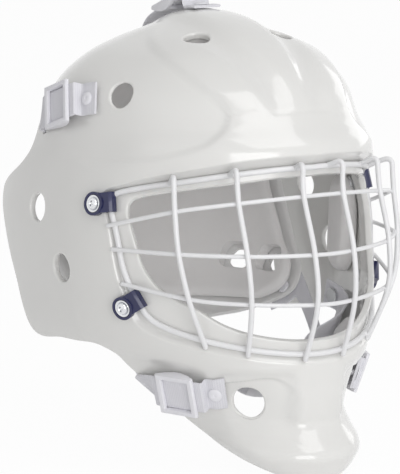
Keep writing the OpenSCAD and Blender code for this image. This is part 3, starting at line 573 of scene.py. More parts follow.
# Shallow relief that only the outer face carries, in mm and degrees: side panels on forehead and chin
relief = {"depth": 2.3, "front": 25.6, "spread": 2.9, "height": 40, "tilt": 0.235, "tiltFrom": 33,
          "edge": (-0.8, 2.0), "fade": (62, 100), "chinDepth": 2.0, "chinFront": 17.5, "chinTop": -66,
          "chinFoot": -118.5, "chinRound": 24, "chinSlope": 0.3, "chinEdge": 3.2, "chinFade": (-78, -100)}


def dip(p):
    s = relief
    p = np.asarray(p, float)
    x, y, z = np.abs(p[..., 0]), p[..., 1], p[..., 2]
    a = np.degrees(np.arctan2(x, -y))
    e = np.degrees(np.arctan2(z, np.hypot(x, y)))
    middle = s["height"] + s["tilt"] * np.maximum(a - s["tiltFrom"], 0)
    inside = s["spread"] * np.sqrt(np.maximum(a - s["front"], 0)) - np.abs(e - middle)
    brow = s["depth"] * ease(*s["edge"], inside) * (1 - ease(*s["fade"], a))
    r = s["chinRound"]
    rise = z - s["chinTop"] + r + s["chinSlope"] * (x - 18)
    corner = r - np.hypot(np.maximum(s["chinFront"] + r - x, 0), np.maximum(rise, 0))
    inside = np.minimum(np.minimum(corner, x - s["chinFront"]), z - s["chinFoot"])
    chin = s["chinDepth"] * ease(0, s["chinEdge"], inside) * ease(*s["chinFade"], y)
    return brow + np.where(z < -40, chin, 0)


def normalAt(v):
    u = unit(np.asarray(v, float))
    pole = np.where(np.abs(u[..., 2:3]) > 0.9, vec(0, 1, 0), vec(0, 0, 1))
    a = unit(np.cross(u, pole))
    b = np.cross(a, u)
    p = skin(u)
    n = unit(np.cross(skin(u + 0.02 * a) - p, skin(u + 0.02 * b) - p))
    return np.where((n * p).sum(-1, keepdims=True) < 0, -n, n)


def onSkin(v):
    return skin(v), normalAt(v)


def lifted(v, h):
    return skin(v) + h * normalAt(v)


shellSize = {"wall": 4.5, "seatDepth": 3.6, "browDepth": 9, "browSpan": (0.26, 0.35),
             "stations": 200, "rows": 96, "arc": 1.12, "step": (-2.0, 3.0),
             "innerStep": (-2.5, 8.0), "innerFrom": -2.0, "innerTo": 9.0,
             "portRound": 1.0, "trimRound": 1.8, "ventRound": 1.5, "ventInner": 0.8, "past": 6}


def depthAt(at):
    s = shellSize
    return s["seatDepth"] + (s["browDepth"] - s["seatDepth"]) * (1 - ease(*s["browSpan"], at))


def wallDir(at, w):  # w is 0 at the port's edge, 1 at the seat's outer edge and 2 at the trim
    at, w = np.broadcast_arrays(np.asarray(at, float), np.asarray(w, float))
    a, b, c = unit(curve(port, at)), unit(curve(seat, at)), unit(curve(trim, at))
    w = w[..., None]
    return np.where(w <= 1, unit(a * (1 - w) + b * w), unit(b * (2 - w) + c * (w - 1)))


def shellWall():
    s = shellSize
    half = s["stations"]
    at = np.concatenate([np.linspace(0, 1, half + 1), np.linspace(1, 0, half + 1)[1:-1]])
    side = np.concatenate([np.ones(half + 1), -np.ones(half - 1)])
    d = depthAt(at)
    ledge = np.linalg.norm(curve(seat, at) - curve(port, at), axis=-1)  # port's edge to seat line
    reach = np.linalg.norm(curve(trim, at) - curve(seat, at), axis=-1) * s["arc"]  # on to the trim edge
    last = reach - s["trimRound"]

    def row(far, off, share, carved=0):  # far from the seat line, off below the skin, share of the depth
        w = 1 + far / np.where(far < 0, ledge, reach)
        return skin(wallDir(at, w), -off - d * share - carved * dip(skin(wallDir(at, w))))

    near = np.array([-2.6, -1.9, -1.4, -1.0, -0.6, -0.2, 0.2, 0.6, 1.0, 1.5, 2.0, 2.6, 3.3, 4.2, 5.4])
    outer, inner = [], []
    for t in np.linspace(0, 1, 7)[:-1]:  # seat's floor, from the port's edge
        far = -(ledge - s["portRound"]) * (1 - t) + near[0] * t
        outer.append(row(far, 0, 1))
        inner.append(row(far, s["wall"], 1))
    for far in near:
        outer.append(row(far + 0 * at, 0, 1 - ease(*s["step"], far) ** 0.9))
    for t in np.linspace(0, 1, s["rows"] + 1)[1:]:
        outer.append(row(near[-1] + (last - near[-1]) * t, 0, 0, 1))
    for far in np.linspace(s["innerFrom"], s["innerTo"], 12):
        inner.append(row(far + 0 * at, s["wall"], 1 - ease(*s["innerStep"], far)))
    for t in np.linspace(0, 1, s["rows"] // 2 + 1)[1:]:
        inner.append(row(s["innerTo"] + (last - s["innerTo"]) * t, s["wall"], 0))

    def lip(top, low, towards, r):  # half round over the wall's edge
        n = unit(top - low)
        g = unit(towards - (towards * n).sum(-1, keepdims=True) * n)
        turn = np.radians([22, 45, 67, 90])
        over = [top + r * (math.sin(a) * g - (1 - math.cos(a)) * n) for a in turn]
        return over + [low + r * (math.sin(a) * g + (1 - math.cos(a)) * n) for a in turn[::-1]]

    portLip = lip(outer[0], inner[0], outer[0] - outer[1], s["portRound"])[::-1]
    trimLip = lip(outer[-1], inner[-1], outer[-1] - outer[-2], s["trimRound"])
    k = len(portLip) // 2
    rings = np.array(portLip[k:] + outer + trimLip + inner[::-1] + portLip[:k])  # rows by stations
    rings[..., 0] *= side
    return sweep(np.swapaxes(rings, 0, 1), closed=True)


def ventCutter(v, d, sides=72):  # a bore whose ends are rounded over the wall
    outer, inner, wall, past = [shellSize[key] for key in ("ventRound", "ventInner", "wall", "past")]
    p, axes = frameAt(*onSkin(v), askew)
    n = axes[:, 2]
    circle = around(turns(sides), axes[:, 0], axes[:, 1])
    rings = [p + (d / 2 + outer) * circle + past * n]
    for a in np.radians([4, 20, 38, 56, 74, 90]):
        ring = skin(p + (d / 2 + outer * (1 - math.sin(a))) * circle)
        rings.append(ring - (outer * (1 - math.cos(a)) + dip(ring)[:, None]) * n)
    for a in np.radians([90, 60, 30, 4]):
        ring = skin(p + (d / 2 + inner * (1 - math.sin(a))) * circle)
        rings.append(ring - (wall - inner * (1 - math.cos(a))) * n)
    rings.append(p + (d / 2 + inner) * circle - (wall + past) * n)
    return sweep(rings)


vents = {"side": [(115, 25.6, 27.1), (114.8, -4.2, -10.2)],
         "top": [(89.4, -38.9, 105.1), (34.3, -45.3, 141.4)], "chin": [(42.7, -116.6, -93.4)]}
ventSize = {"side": 19, "top": 17, "chin": 21}

# Cage rim and where the clips hold it
cageSize = {"rim": 3.7, "upright": 3.5, "crossbar": 2.8,
            "rimPlace": 0.72, "browPlace": 0.64, "browSpan": (0.2, 0.34), "rimGap": 0.4,
            "weldLap": 0.25, "wireEnd": 3, "elbowLeg": 0.45, "elbowRun": 0.24, "bowCentre": 33,
            "bead": {"foot": 1.9, "top": 2.0, "crossing": 1.7, "end": 1.6}, "beadFlat": 0.62, "beadLift": 1.8}


def rimDir(at):
    c = cageSize
    lower = ease(*c["browSpan"], np.asarray(at, float))
    return wallDir(at, c["browPlace"] + (c["rimPlace"] - c["browPlace"]) * lower)


def rimAt(at):
    at = np.asarray(at, float)
    return skin(rimDir(at), -depthAt(at)) + (cageSize["rim"] / 2 + cageSize["rimGap"]) * normalAt(rimDir(at))


def outward(at):
    n = normalAt(curve(seat, at))
    o = np.cross(n, rimAt(at + 0.01) - rimAt(at - 0.01))
    return unit(o if o[1] > 0 else -o)


clipSize = {"stations": (0.343, 0.6165), "reach": 10, "height": 13, "cup": 11.5, "base": 15.5, "screw": 5,
            "head": 7.5, "fit": 0.3, "plate": 2.4, "boss": 1.5, "shelf": 0.9, "hook": 2.4, "grip": 1.2,
            "slope": 1.6, "round": 0.45}


def clipFrames():  # foot and axis of the screw, and the rim's middle beside it
    for at in clipSize["stations"]:
        yield *onSkin(rimAt(at) + clipSize["reach"] * outward(at)), rimAt(at)


# Harness ways on the skin, as directions
harness = {"width": 22, "thick": 1.8, "lift": 5.6, "gap": 0.7, "lowerRise": 0.7, "fit": 0.3,
           "rivetBack": 25.5, "endBack": 33.5, "rivet": 4, "wrapAt": (0.745, 0.802), "slideLength": 28,
           "slot": (5.2, 24)}
ways = {"upper": [vec(100.5, 8, 95), vec(100, 38, 86)], "lower": [vec(67, -77, -84.5), vec(77.5, -54, -84.5)],
        "top": [vec(0, 22, 151), vec(0, 38, 149)]}


def slideFrame(way):  # place, normal and run of the straight stretch under a slide
    p, n = onSkin(ways[way][0])
    d = skin(ways[way][1]) - p
    return p, n, unit(d - np.dot(d, n) * n)


def backAlong(way, d):
    p, _, t = slideFrame(way)
    return p - d * t


def gapUnder(way):
    return harness["gap"] + (harness["lowerRise"] if way == "lower" else 0)


pastWall = (-20, 20)  # how far a cutter runs along its axis


def rivetHole(way):
    return rod(*onSkin(backAlong(way, harness["rivetBack"])), harness["rivet"] + 0.3, *pastWall)


boxFaces = [[0, 1, 3, 2], [4, 6, 7, 5], [0, 4, 5, 1], [2, 3, 7, 6], [0, 2, 6, 4], [1, 5, 7, 3]]
shell = makePiece("shellMoulding", *shellWall())
cuts = [ventCutter(vec(*v), ventSize[kind]) for kind, spots in vents.items() for v in spots]
cuts += [rod(p, n, clipSize["screw"] + 0.6, *pastWall) for p, n, _ in clipFrames()]
cuts += [rivetHole(way) for way in ("upper", "lower")]
wide, long = [side / 2 for side in harness["slot"]]
slot = np.array([[x, y, z] for x in (-wide, wide) for y in (-long, long) for z in pastWall])
cuts.append(turnedOut((stood(slot, *onSkin(ways["upper"][1]), slideFrame("upper")[2]), boxFaces)))
cuts += [mirrored(c) for c in cuts]
combined(shell, joined(*cuts, rivetHole("top")))
smoothed(shell, 42, splitCuts=True)
dressed(shell, "gelcoat", "mask", "shell_white", "shell")
print("shell made:", len(shell.data.polygons), "faces")

# Cage
crossings = [[vec(88, -99.5, 36), vec(56.4, -123.6, 41.3), vec(15.7, -136.8, 44.1)],
             [vec(88, -103.8, 9.2), vec(56.6, -133.4, 8.8), vec(15.5, -148.5, 8.1)],
             [vec(82.6, -107.2, -19.8), vec(54.5, -135, -21.9), vec(14.8, -150.6, -23.7)]]
elbows = [vec(87.5, -97.5, 59.7), vec(56, -120.5, 64), vec(15.9, -135.5, 66)]
uprightTops, uprightFeet, crossbarEnds = [0.245, 0.153, 0.038], [0.797, 0.868, 0.96], [0.407, 0.477, 0.572]


def cageOut(p):  # level, away from the cage's upright axis
    return unit(vec(p[0], p[1] + cageSize["bowCentre"], 0))


def overRim(at, h):  # a point h over the rim's middle, and the way up there
    n = normalAt(rimAt(at))
    return rimAt(at) + h * n, n


def uprightPath(i):
    c = cageSize
    off = c["upright"] / 2 - 0.2
    e, rim = elbows[i] + off * cageOut(elbows[i]), rimAt(uprightTops[i])
    top = rim + (c["rim"] / 2 - c["weldLap"]) * unit(e - rim)
    run = [row[i] + off * cageOut(row[i]) for row in crossings]
    a, b = e + c["elbowLeg"] * (top - e), e + c["elbowRun"] * (run[0] - e)
    f, _ = overRim(uprightFeet[i], (c["rim"] + c["upright"]) / 2 - c["weldLap"])
    last = f + c["wireEnd"] * unit(f - run[2])
    bend = [(1 - t) ** 2 * a + 2 * t * (1 - t) * e + t * t * b for t in np.linspace(0, 1, 12)]
    return [top, *bend, *through([b, *run, f])[1:], last]


def crossbarPath(at, row):
    c = cageSize
    f, _ = overRim(at, (c["rim"] + c["crossbar"]) / 2 - c["weldLap"])
    half = [f, *[p + (0.1 - c["crossbar"] / 2) * cageOut(p) for p in row]]
    last = f + c["wireEnd"] * unit(f - half[1])
    return [last, *through(half + [flipX(p) for p in half[::-1]]), flipX(last)]


def weld(p, n, size):
    flat = cageSize["beadFlat"]
    half = np.linspace(-math.pi / 2, math.pi / 2, 9)
    return lathe([(size * math.cos(a), size * flat * math.sin(a)) for a in half], 18, p, n, (0.3, 0.2, 1))


def rimWeld(at, size):
    return weld(*overRim(at, cageSize["beadLift"]), size)


half = rimAt(np.linspace(0, 1, 161))
loop = np.concatenate([half, flipX(half[-2:0:-1])])
rim = tube(loop, cageSize["rim"], 24, closed=True, up=loop + vec(0, 40, 0))
finished("cageRimWire", rim, 60, "powder", "mask", "wire_white", "cage_rim")
wires, beads, size = [], [], cageSize["bead"]
for i, foot in enumerate(uprightFeet):
    path = uprightPath(i)
    wires.append(tube(path, cageSize["upright"]))
    beads += [rimWeld(foot, size["foot"]), weld(path[0], path[1] - path[0], size["top"])]
    beads += [weld(row[i], cageOut(row[i]), size["crossing"]) for row in crossings]
beads += [rimWeld(at, size["end"]) for at in crossbarEnds]
finished("cageUprightWires", paired(wires), 60, "powder", "mask", "wire_white", "cage_uprights")
bars = [tube(crossbarPath(at, row), cageSize["crossbar"]) for at, row in zip(crossbarEnds, crossings)]
finished("cageCrossWires", joined(*bars), 60, "powder", "mask", "wire_white", "cage_crossbars")
finished("cageWelds", paired(beads), 60, "powder", "mask", "wire_white")
print("cage made")


# Clips, cups and screws
def clipLump(p, n, w):
    c = clipSize
    fit, wire, high = c["fit"], cageSize["rim"] / 2, c["fit"] + c["plate"]
    reach = np.linalg.norm((w - p) - np.dot(w - p, n) * n)
    rise = float(np.dot(w - p, n))
    top = max(high, rise + wire + fit + c["hook"])
    r, tall, far = c["base"] / 2, high + c["boss"], reach + wire + c["hook"]
    slant = 0.7 * (wire + fit)  # corners of the groove that holds the rim
    outline = [(0.5, fit), (reach - wire - fit, fit), (reach - wire - fit, rise),
               (reach - slant, rise + slant), (reach, rise + wire + fit), (reach + slant, rise + slant),
               (reach + wire + fit, rise), (reach + wire + fit, rise - c["grip"]), (far, rise - c["grip"]),
               (far, top - c["slope"]), (far - c["slope"], top), (reach - wire - 1, top),
               (r - 2, high + c["shelf"]), (0.5, high + c["shelf"])]
    return lathe(drum(r, fit, tall), 48), prism(outline, -c["height"] / 2, c["height"] / 2)


for side in ("left", "right"):
    for (p, n, w), level in zip(clipFrames(), ("upper", "lower")):
        c = clipSize
        plate, hook = clipLump(p, n, w)
        clip = combined(makePiece(f"{level}Clip{side.title()}", *plate), hook, "UNION")
        combined(clip, lathe(drum(c["cup"] / 2 + 0.2, c["fit"] + c["plate"], 30), 48))
        combined(clip, lathe(drum(c["screw"] / 2 + 0.2, *pastWall), 32))
        moved(bevelled(clip, c["round"], 32), p, n, w - p, side == "right")
        dressed(smoothed(clip, 35), "navy", "mask", "clip_navy", f"{level}_clip_{side}")


def atClips(lump):
    points, faces = lump
    placed = [bothHands((stood(points, p, n, w - p), faces)) for p, n, w in clipFrames()]
    return joined(*placed[0], *placed[1])


cupBase = clipSize["fit"] + clipSize["plate"] + 0.1
bore, cr, hr = clipSize["screw"] / 2 + 0.2, clipSize["cup"] / 2, clipSize["head"] / 2
cupProfile = [(bore, 0), (cr - 0.2, 0), (cr, 0.3), (cr, 0.9), (cr - 0.15, 1.35), (cr - 0.55, 1.6),
              (cr - 0.95, 1.5), (hr + 0.35, 0.95), (hr + 0.15, 0.85), (bore, 0.85)]
cups = atClips(lathe([(r, z + cupBase) for r, z in cupProfile], 56))
finished("screwCups", cups, 35, "chrome", "mask", "washer_dark", "cup_washers")

screwSize = {"d": 5, "length": 8.8, "dome": 2.0, "rise": 0.55, "cross": 2.7, "blade": 0.6, "crossFrom": 1.0,
             "crossTo": 3.4, "turn": 20}
headBase = cupBase + 0.95
r, low = screwSize["d"] / 2, -screwSize["length"]
shank = [(0, low), (r - 0.3, low), (r, low + 0.4), (r, headBase), (hr - 0.25, headBase),
         (hr, headBase + 0.25)]
head = [(hr * math.cos(a), headBase + screwSize["rise"] + screwSize["dome"] * math.sin(a))
        for a in np.radians([0, 12, 26, 40, 54, 68, 80, 90])]
screw = makePiece("screwBlank", *lathe(shank + head[:-1] + [(0, head[-1][1])], 48))
for turn in (0, 90):  # the cross recess, narrower at its foot
    a = math.radians(turn + screwSize["turn"])
    rot = np.array([[math.cos(a), -math.sin(a), 0], [math.sin(a), math.cos(a), 0], [0, 0, 1]])
    cross, blade, foot = screwSize["cross"], screwSize["blade"], headBase + screwSize["crossFrom"]
    blades = np.array([[x * thin, y * slim, z] for x in (-cross, cross) for y in (-blade, blade)
                       for z, thin, slim in ((foot, 0.35, 0.7), (headBase + screwSize["crossTo"], 1, 1))])
    combined(screw, turnedOut((blades @ rot.T, boxFaces)))
screwLump = pointsOf(screw), [list(p.vertices) for p in screw.data.polygons]
bpy.data.objects.remove(screw)
finished("cageScrews", atClips(screwLump), 35, "chrome", "mask", "screw_chrome", "cage_screws")

nutSize = {"bore": 2.55, "flange": 5.75, "hex": 4.5, "gap": 0.9, "flangeHigh": 1.2, "high": 3}
z = -(shellSize["wall"] + nutSize["gap"])
bore, wide, across = nutSize["bore"], nutSize["flange"], nutSize["hex"]
foot, end = z - nutSize["flangeHigh"], z - nutSize["high"]
flange = [(bore, foot), (wide - 0.15, foot), (wide, foot + 0.2), (wide, z - 0.2), (wide - 0.15, z), (bore, z)]
sides = [(bore, end), (across - 0.2, end), (across, end + 0.2), (across, foot), (bore, foot)]
nuts = joined(atClips(lathe(flange, 40)), atClips(lathe(sides, 6)))
finished("cageNuts", nuts, 30, "steel", "mask", "steel", "cage_nuts")
print("clips made")

# Backplate's dish, by azimuth from the rear and elevation, both in degrees
dishSize = {"halfWidth": 99, "reach": 108, "halfHeight": 115, "square": 2.2,
            "wall": 3, "foam": 9, "foamGap": 1.2, "foot": -57, "tall": 117,
            "rivetHole": 4.3, "rivetRoom": 10.2}
dishAxis = vec(0, 8, 22)
# Elevation and half width
backEdge = [[-57, 42], [-52, 68], [-43, 95], [-33, 98], [-20, 86], [0, 76], [30, 70], [50, 56], [60, 32]]
anchors = {"upper": (52, 22), "lower": (92, -40), "top": (0, 50)}
windows = [(58, -30), (80, -30)]


def dish(a, e, off=0.0):
    s = dishSize
    a, e = np.radians(np.asarray(a, float)), np.radians(np.asarray(e, float))
    d = np.stack([np.sin(a) * np.cos(e), np.cos(a) * np.cos(e), np.sin(e) + 0 * a], axis=-1)
    q = s["square"]
    across, back = np.abs(d[..., 0]) / s["halfWidth"], np.abs(d[..., 1]) / (s["reach"] - dishAxis[1])
    r = 1 / np.hypot((across**q + back**q) ** (1 / q), d[..., 2] / s["halfHeight"])
    return dishAxis + (r + np.asarray(off, float))[..., None] * d


def dishNormal(a, e):
    n = unit(np.cross(dish(a + 0.5, e) - dish(a - 0.5, e), dish(a, e + 0.5) - dish(a, e - 0.5)))
    out = dish(a, e) - dishAxis
    return n if np.dot(n, out) > 0 else -n


# Webbing: rows of left edge, right edge and the way the outer face looks
def edges(p, n, t, w=None):
    w = harness["width"] if w is None else w
    p, n = np.asarray(p, float), unit(np.asarray(n, float))
    b = unit(np.cross(np.asarray(t, float), n))
    return np.concatenate([p - w / 2 * b, p + w / 2 * b, n])


def headRows(way):  # from the rivet's end to the far side of the slide
    h = harness
    p, n, t = slideFrame(way)
    c = p + h["lift"] * n
    spots = [backAlong(way, d) for d in (h["endBack"], h["rivetBack"], h["rivetBack"] - 6)]
    rows = [edges(lifted(v, gapUnder(way)), normalAt(v), t) for v in spots]
    rows.append(edges(c - 19 * t - 0.5 * n, n, t))
    return rows + [edges(c + k * t, n, t) for k in (-17, -9, 0, 9, 18)]


def onDish(a, e, t):
    n = dishNormal(a, e)
    return edges(dish(a, e) + harness["fit"] * n, n, t)


def edgeDir(at):
    return wallDir(at, 2.0)


def edgeOut(at):
    n = normalAt(edgeDir(at))
    g = unit(np.cross(n, skin(edgeDir(at + 0.01)) - skin(edgeDir(at - 0.01))))
    return g if np.dot(g, skin(edgeDir(at)) - skin(wallDir(at, 1.9))) > 0 else -g


def wrapRow(h, out, turn):  # a row round the shell's edge, h over the skin and out beyond the edge
    a, b = harness["wrapAt"]
    p = [skin(edgeDir(at)) + h * normalAt(edgeDir(at)) + out * edgeOut(at) for at in (a, b)]
    mid = (a + b) / 2
    return np.concatenate([p[0], p[1], unit(turn[0] * normalAt(edgeDir(mid)) + turn[1] * edgeOut(mid))])


def upperRows():
    t = slideFrame("upper")[2]
    s, m = onSkin(ways["upper"][1])
    k = unit(t - np.dot(t, m) * m)
    a, e = anchors["upper"]
    g = dish(a - 8, e - 2) - dish(a + 8, e + 2)
    half, wall = harness["thick"] / 2, shellSize["wall"]
    slot = [edges(s + 2.6 * m - 1.6 * k, unit(m + k), k - m), edges(s - 0.2 * m - half * k, k, -m),
            edges(s - (wall + 1.2) * m - half * k, k, -m),
            edges(s - (wall + 3.6) * m + 1.4 * k, unit(m + k), k - m)]  # through the shell's slot
    return headRows("upper") + slot + [onDish(a + p, e + q, g) for p, q in ((7, 2), (0, 0), (-8, -2))]


def lowerRows():
    a, e = anchors["lower"]
    u = unit(dish(a - 8, e - 3) - dish(a + 8, e + 3))
    wrap = [wrapRow(1, -2.5, (1, 0.1)), wrapRow(0.5, 0.6, (0.85, 0.5)), wrapRow(-3, 1.8, (0.5, 0.85))]
    return headRows("lower") + wrap + [onDish(a + p, e + q, u) for p, q in ((6, 3), (0, 0), (-9, -4))]


def topRows():
    e = anchors["top"][1]
    p, n, t = slideFrame("top")
    c = p + harness["lift"] * n
    bend = [edges(c + 27 * t - 1.5 * n, (0, 0.35, 1), (0, 1, -0.35)),
            edges(c + 36 * t - 7 * n, (0, 0.75, 0.75), (0, 1, -1))]
    bend += [onDish(0, e + up, (0, 1, -down)) for up, down in ((8, 1.2), (0, 1.2), (-6, 1.5))]
    return headRows("top") + bend


def ribbon(rows, steps=8):  # a band with rounded edges, and each point's place across, along and through it
    thick = harness["thick"]
    rows = np.array(rows)
    mid = (rows[:, :3] + rows[:, 3:6]) / 2
    run = np.concatenate([[0], np.cumsum(np.linalg.norm(np.diff(mid, axis=0), axis=1))])
    at = [np.linspace(a, b, steps, endpoint=False) for a, b in zip(run, run[1:])]
    at = np.concatenate(at + [[run[-1]]])
    fine = curve(np.column_stack([run, rows]), at)
    left, right, n = fine[:, :3], fine[:, 3:6], unit(fine[:, 6:9])
    wide = np.linalg.norm(right - left, axis=1)
    e = thick * 0.42 / wide.mean()
    flat = e + (1 - 2 * e) * np.linspace(0, 1, 13)
    section = [(s, 0) for s in flat] + [(1 - 0.25 * e, 0.2), (1, 0.5), (1 - 0.25 * e, 0.8)]
    section += [(s, 1) for s in flat[::-1]] + [(0.25 * e, 0.8), (0, 0.5), (0.25 * e, 0.2)]
    rings = np.stack([left + s * (right - left) + h * thick * n for s, h in section], axis=1)
    places = [np.column_stack([s * wide, at, np.full(len(at), h * thick)]) for s, h in section]
    return sweep(rings), np.stack(places, axis=1).reshape(-1, 3)


def strapPiece(name, rows, flip=False):
    lump, places = ribbon(rows)
    return smoothed(makePiece(name, *(mirrored(lump) if flip else lump), places), 50)


def rowMiddle(row, side):  # in metres
    x, y, z = (row[:3] + row[3:6]) / 2 * mm
    return (x if side == "left" else -x, y, z)


strapRows = {"upper": upperRows(), "lower": lowerRows()}
top = strapPiece("topStrap", topRows())
dressed(top, "web", None, "webbing", "top_strap")
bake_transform(top)
for level, rows in strapRows.items():
    for side in ("left", "right"):
        strap = strapPiece(f"{level}Strap{side.title()}", rows, side == "right")
        dressed(strap, "web", None, "webbing", f"{level}_strap_{side}")
        rowMiddle(rows[-4], side)
        rowMiddle(rows[-3], side)
        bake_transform(strap)
print("webbing made")

# Slide buckles
slideSize = {"bar": 2.4, "barWidth": 4.4, "rail": 2.8, "clear": 0.3, "round": 0.55, "shoulder": 0.9,
             "lap": 0.4}


def slidePiece(name):
    s, h = slideSize, harness
    low, high = h["lift"] - s["clear"] - s["bar"], h["lift"] + h["thick"] + s["clear"]
    top, half, side = high + s["bar"], h["slideLength"] / 2, h["width"] / 2 + s["clear"]
    b, shoulder, waist = s["barWidth"] / 2, top - s["shoulder"], h["lift"] - 0.6
    rail = [[-half, high], [-half, shoulder], [1.1 - half, top], [half - 1.1, top], [half, shoulder],
            [half, high], [half - 5, waist], [b + 0.6, low], [-b - 0.6, low], [5 - half, waist]]
    bar = np.array([[-b, high], [-b, shoulder], [0.9 - b, top], [b - 0.9, top], [b, shoulder], [b, high]])
    middle = [[-b, low], [-b, low + s["bar"]], [b, low + s["bar"]], [b, low]]
    piece = makePiece(name, *prism(rail, side, side + s["rail"]))
    combined(piece, prism(rail, -side - s["rail"], -side), "UNION")
    for outline in (bar - vec(half - b, 0), bar + vec(half - b, 0), middle):
        combined(piece, prism(outline, -side - s["lap"], side + s["lap"]), "UNION")
    return bevelled(piece, s["round"], 35)


for way in ways:
    for side in ("",) if way == "top" else ("left", "right"):
        buckle = moved(slidePiece(f"{way}Slide{side.title()}"), *slideFrame(way), side == "right")
        node = f"{way}_slide" + (f"_{side}" if side else "")
        dressed(smoothed(buckle, 35), "buckle", node, "buckle", node)
print("slides made")

# Rivets
rivetSize = {"head": 9, "rise": 1.3, "d": 4}


def rivet(p, n, low, high):
    r, t, d = rivetSize["head"] / 2, rivetSize["rise"], rivetSize["d"] / 2
    dome = [(r, high), (r, high + 0.25 * t), (r - 0.35, high + 0.5 * t), (r - 1.2, high + 0.85 * t),
            (r - 2.4, high + t), (1.1, high + t), (0.8, high + 0.7 * t), (0, high + 0.65 * t)]
    foot = [(0, low - t), (r - 0.3, low - t), (r, low - 0.7 * t), (r, low)]
    return lathe(foot + [(d, low), (d, high)] + dome, 40, p, n, askew)


lumps = []
for way in ways:
    foot, high = onSkin(backAlong(way, harness["rivetBack"])), gapUnder(way) + harness["thick"] + 0.1
    lump = rivet(*foot, -shellSize["wall"] - 1.9, high)
    lumps += bothHands(lump, way == "top")
finished("shellRivets", joined(*lumps), 35, "buckle", "mask", "buckle", "shell_rivets")
lumps = []
for way, (a, e) in anchors.items():
    high = harness["fit"] + harness["thick"] + 0.15
    lump = rivet(dish(a, e), dishNormal(a, e), -dishSize["wall"] - 1.1, high)
    lumps += bothHands(lump, way == "top")
finished("plateRivets", joined(*lumps), 35, "buckle", "backplate", "buckle", "backplate_rivets")


# Backplate and foam, as sheets over azimuth and elevation
def dishSheet(outer, inner, shrink, edge, columns=120, rows=80):  # its faces lie so far inside the dish
    low, tall, steps = dishSize["foot"], dishSize["tall"], 13
    v = np.linspace(0, steps, rows + 1)
    upper = v / (steps / 2) - 1
    e = low + tall * v / steps - upper * shrink * np.where(upper < 0, 3.4, 1.6)
    reach = curve(backEdge, e)[:, 0] - 1.6 * shrink
    uu, ee = np.meshgrid(np.linspace(-1, 1, columns + 1), e, indexing="ij")
    across = (1 - np.abs(uu)) * reach[None] * 1.7  # about mm from the side edges
    along = np.minimum(ee - e.min(), e.max() - ee) * 1.9
    t = np.clip(np.minimum(across, along) / edge, 0, 1)
    bulge = 0.12 + 0.88 * np.sqrt(1 - (1 - t) ** 2)
    mid, soft = -(outer + inner) / 2, (inner - outer) / 2 * bulge
    return sheetLump(dish(uu * reach[None], ee, mid + soft), dish(uu * reach[None], ee, mid - soft))


def sheetLump(outside, inside):
    n, m = outside.shape[:2]
    points = np.concatenate([outside.reshape(-1, 3), inside.reshape(-1, 3)])
    k = n * m
    top = gridFaces(n, m, closedM=False)
    low = [[i + k for i in q[::-1]] for q in top]
    ids = np.arange(k).reshape(n, m)
    rim = [*ids[:, 0], *ids[-1, 1:], *ids[-2::-1, -1], *ids[0, -2:0:-1]]
    wall = [[a, b, b + k, a + k] for a, b in zip(rim, rim[1:] + rim[:1])]
    return turnedOut((points, top + low + wall))


windowSize = {"width": 9, "height": 7, "corner": 0.3, "round": 0.9, "foamGrow": 3}


def windowCutter(a, e, grow, r):
    w, h, cut = windowSize["width"] + grow, windowSize["height"] + grow, windowSize["corner"]
    outline = np.array([[-h, 4 - w], [-h, w - 4], [4 - h, w], [h - 5, w - 1],
                        [h, w - 5], [h, 5 - w], [h - 5, 1 - w], [4 - h, -w]])
    smooth = []
    for before, b, after in zip(np.roll(outline, 1, 0), outline, np.roll(outline, -1, 0)):
        p, q = b + (before - b) * cut, b + (after - b) * cut
        smooth += [(1 - t) ** 2 * p + 2 * t * (1 - t) * b + t * t * q for t in (0, 0.25, 0.5, 0.75, 1)]
    smooth = np.array(smooth)
    steps = ((20, r), (0.4, r), (-r * 0.3, r * 0.3), (-r, 0), (-20, 0)) if r else ((20, 0), (-20, 0))
    rings = [np.column_stack([smooth + wider * unit(smooth), np.full(len(smooth), z)]) for z, wider in steps]
    return sweep([stood(ring, dish(a, e), dishNormal(a, e), (0, 0, 1)) for ring in rings])


def dishPiece(name, lump, windowGrow, windowRound, sink, hole, deep):
    piece = makePiece(name, *lump)
    for a, e in windows:
        for cutter in bothHands(windowCutter(a, e, windowGrow, windowRound)):
            combined(piece, cutter)
    for a, e in anchors.values():
        foot = dish(a, e) - sink * dishNormal(a, e)
        for cutter in bothHands(rod(foot, dishNormal(a, e), hole, *deep), a == 0):
            combined(piece, cutter)
    return smoothed(piece, 42, splitCuts=True)


d = dishSize
plateLump = dishSheet(0, d["wall"], 0, 1.6)
plate = dishPiece("backplateShell", plateLump, 0, windowSize["round"], 0, d["rivetHole"], (-8, 8))
dressed(plate, "plate", "backplate", "plate_grey", "backplate")
foamIn = d["wall"] + d["foamGap"]
foamLump = dishSheet(foamIn, foamIn + d["foam"], 2.4, 9)
foam = dishPiece("backplateFoam", foamLump, windowSize["foamGrow"], 0, 5.8, d["rivetRoom"], (0, 8))
dressed(foam, "lining", "backplate", "foam", "backplate_foam")
print("backplate made")

# Liner pads inside the shell: middle, half length, half width and thickness
padShapes = {
    "forehead_pad": (vec(0, -107, 92), vec(64, 0, 0), vec(0, 8, 19), 15),
    "crown_pad": (vec(0, -12, 152), vec(40, 0, 0), vec(0, 29, 2), 14),
    "temple_pad": (vec(104, -14, 61), vec(0, 24, 0), vec(0, 0, 14), 12),
    "cheek_pad": (vec(107, -29.5, 5), vec(0, 14.5, 0), vec(0, 0, 36), 12),
    "jaw_pad": (vec(71, -86, -70), vec(10, 13, 3), vec(4, 0, 13), 10)}
padGap = 0.9


def roundSquare(a, n=3):
    return (np.abs(np.cos(a)) ** n + np.abs(np.sin(a)) ** n) ** (-1 / n)


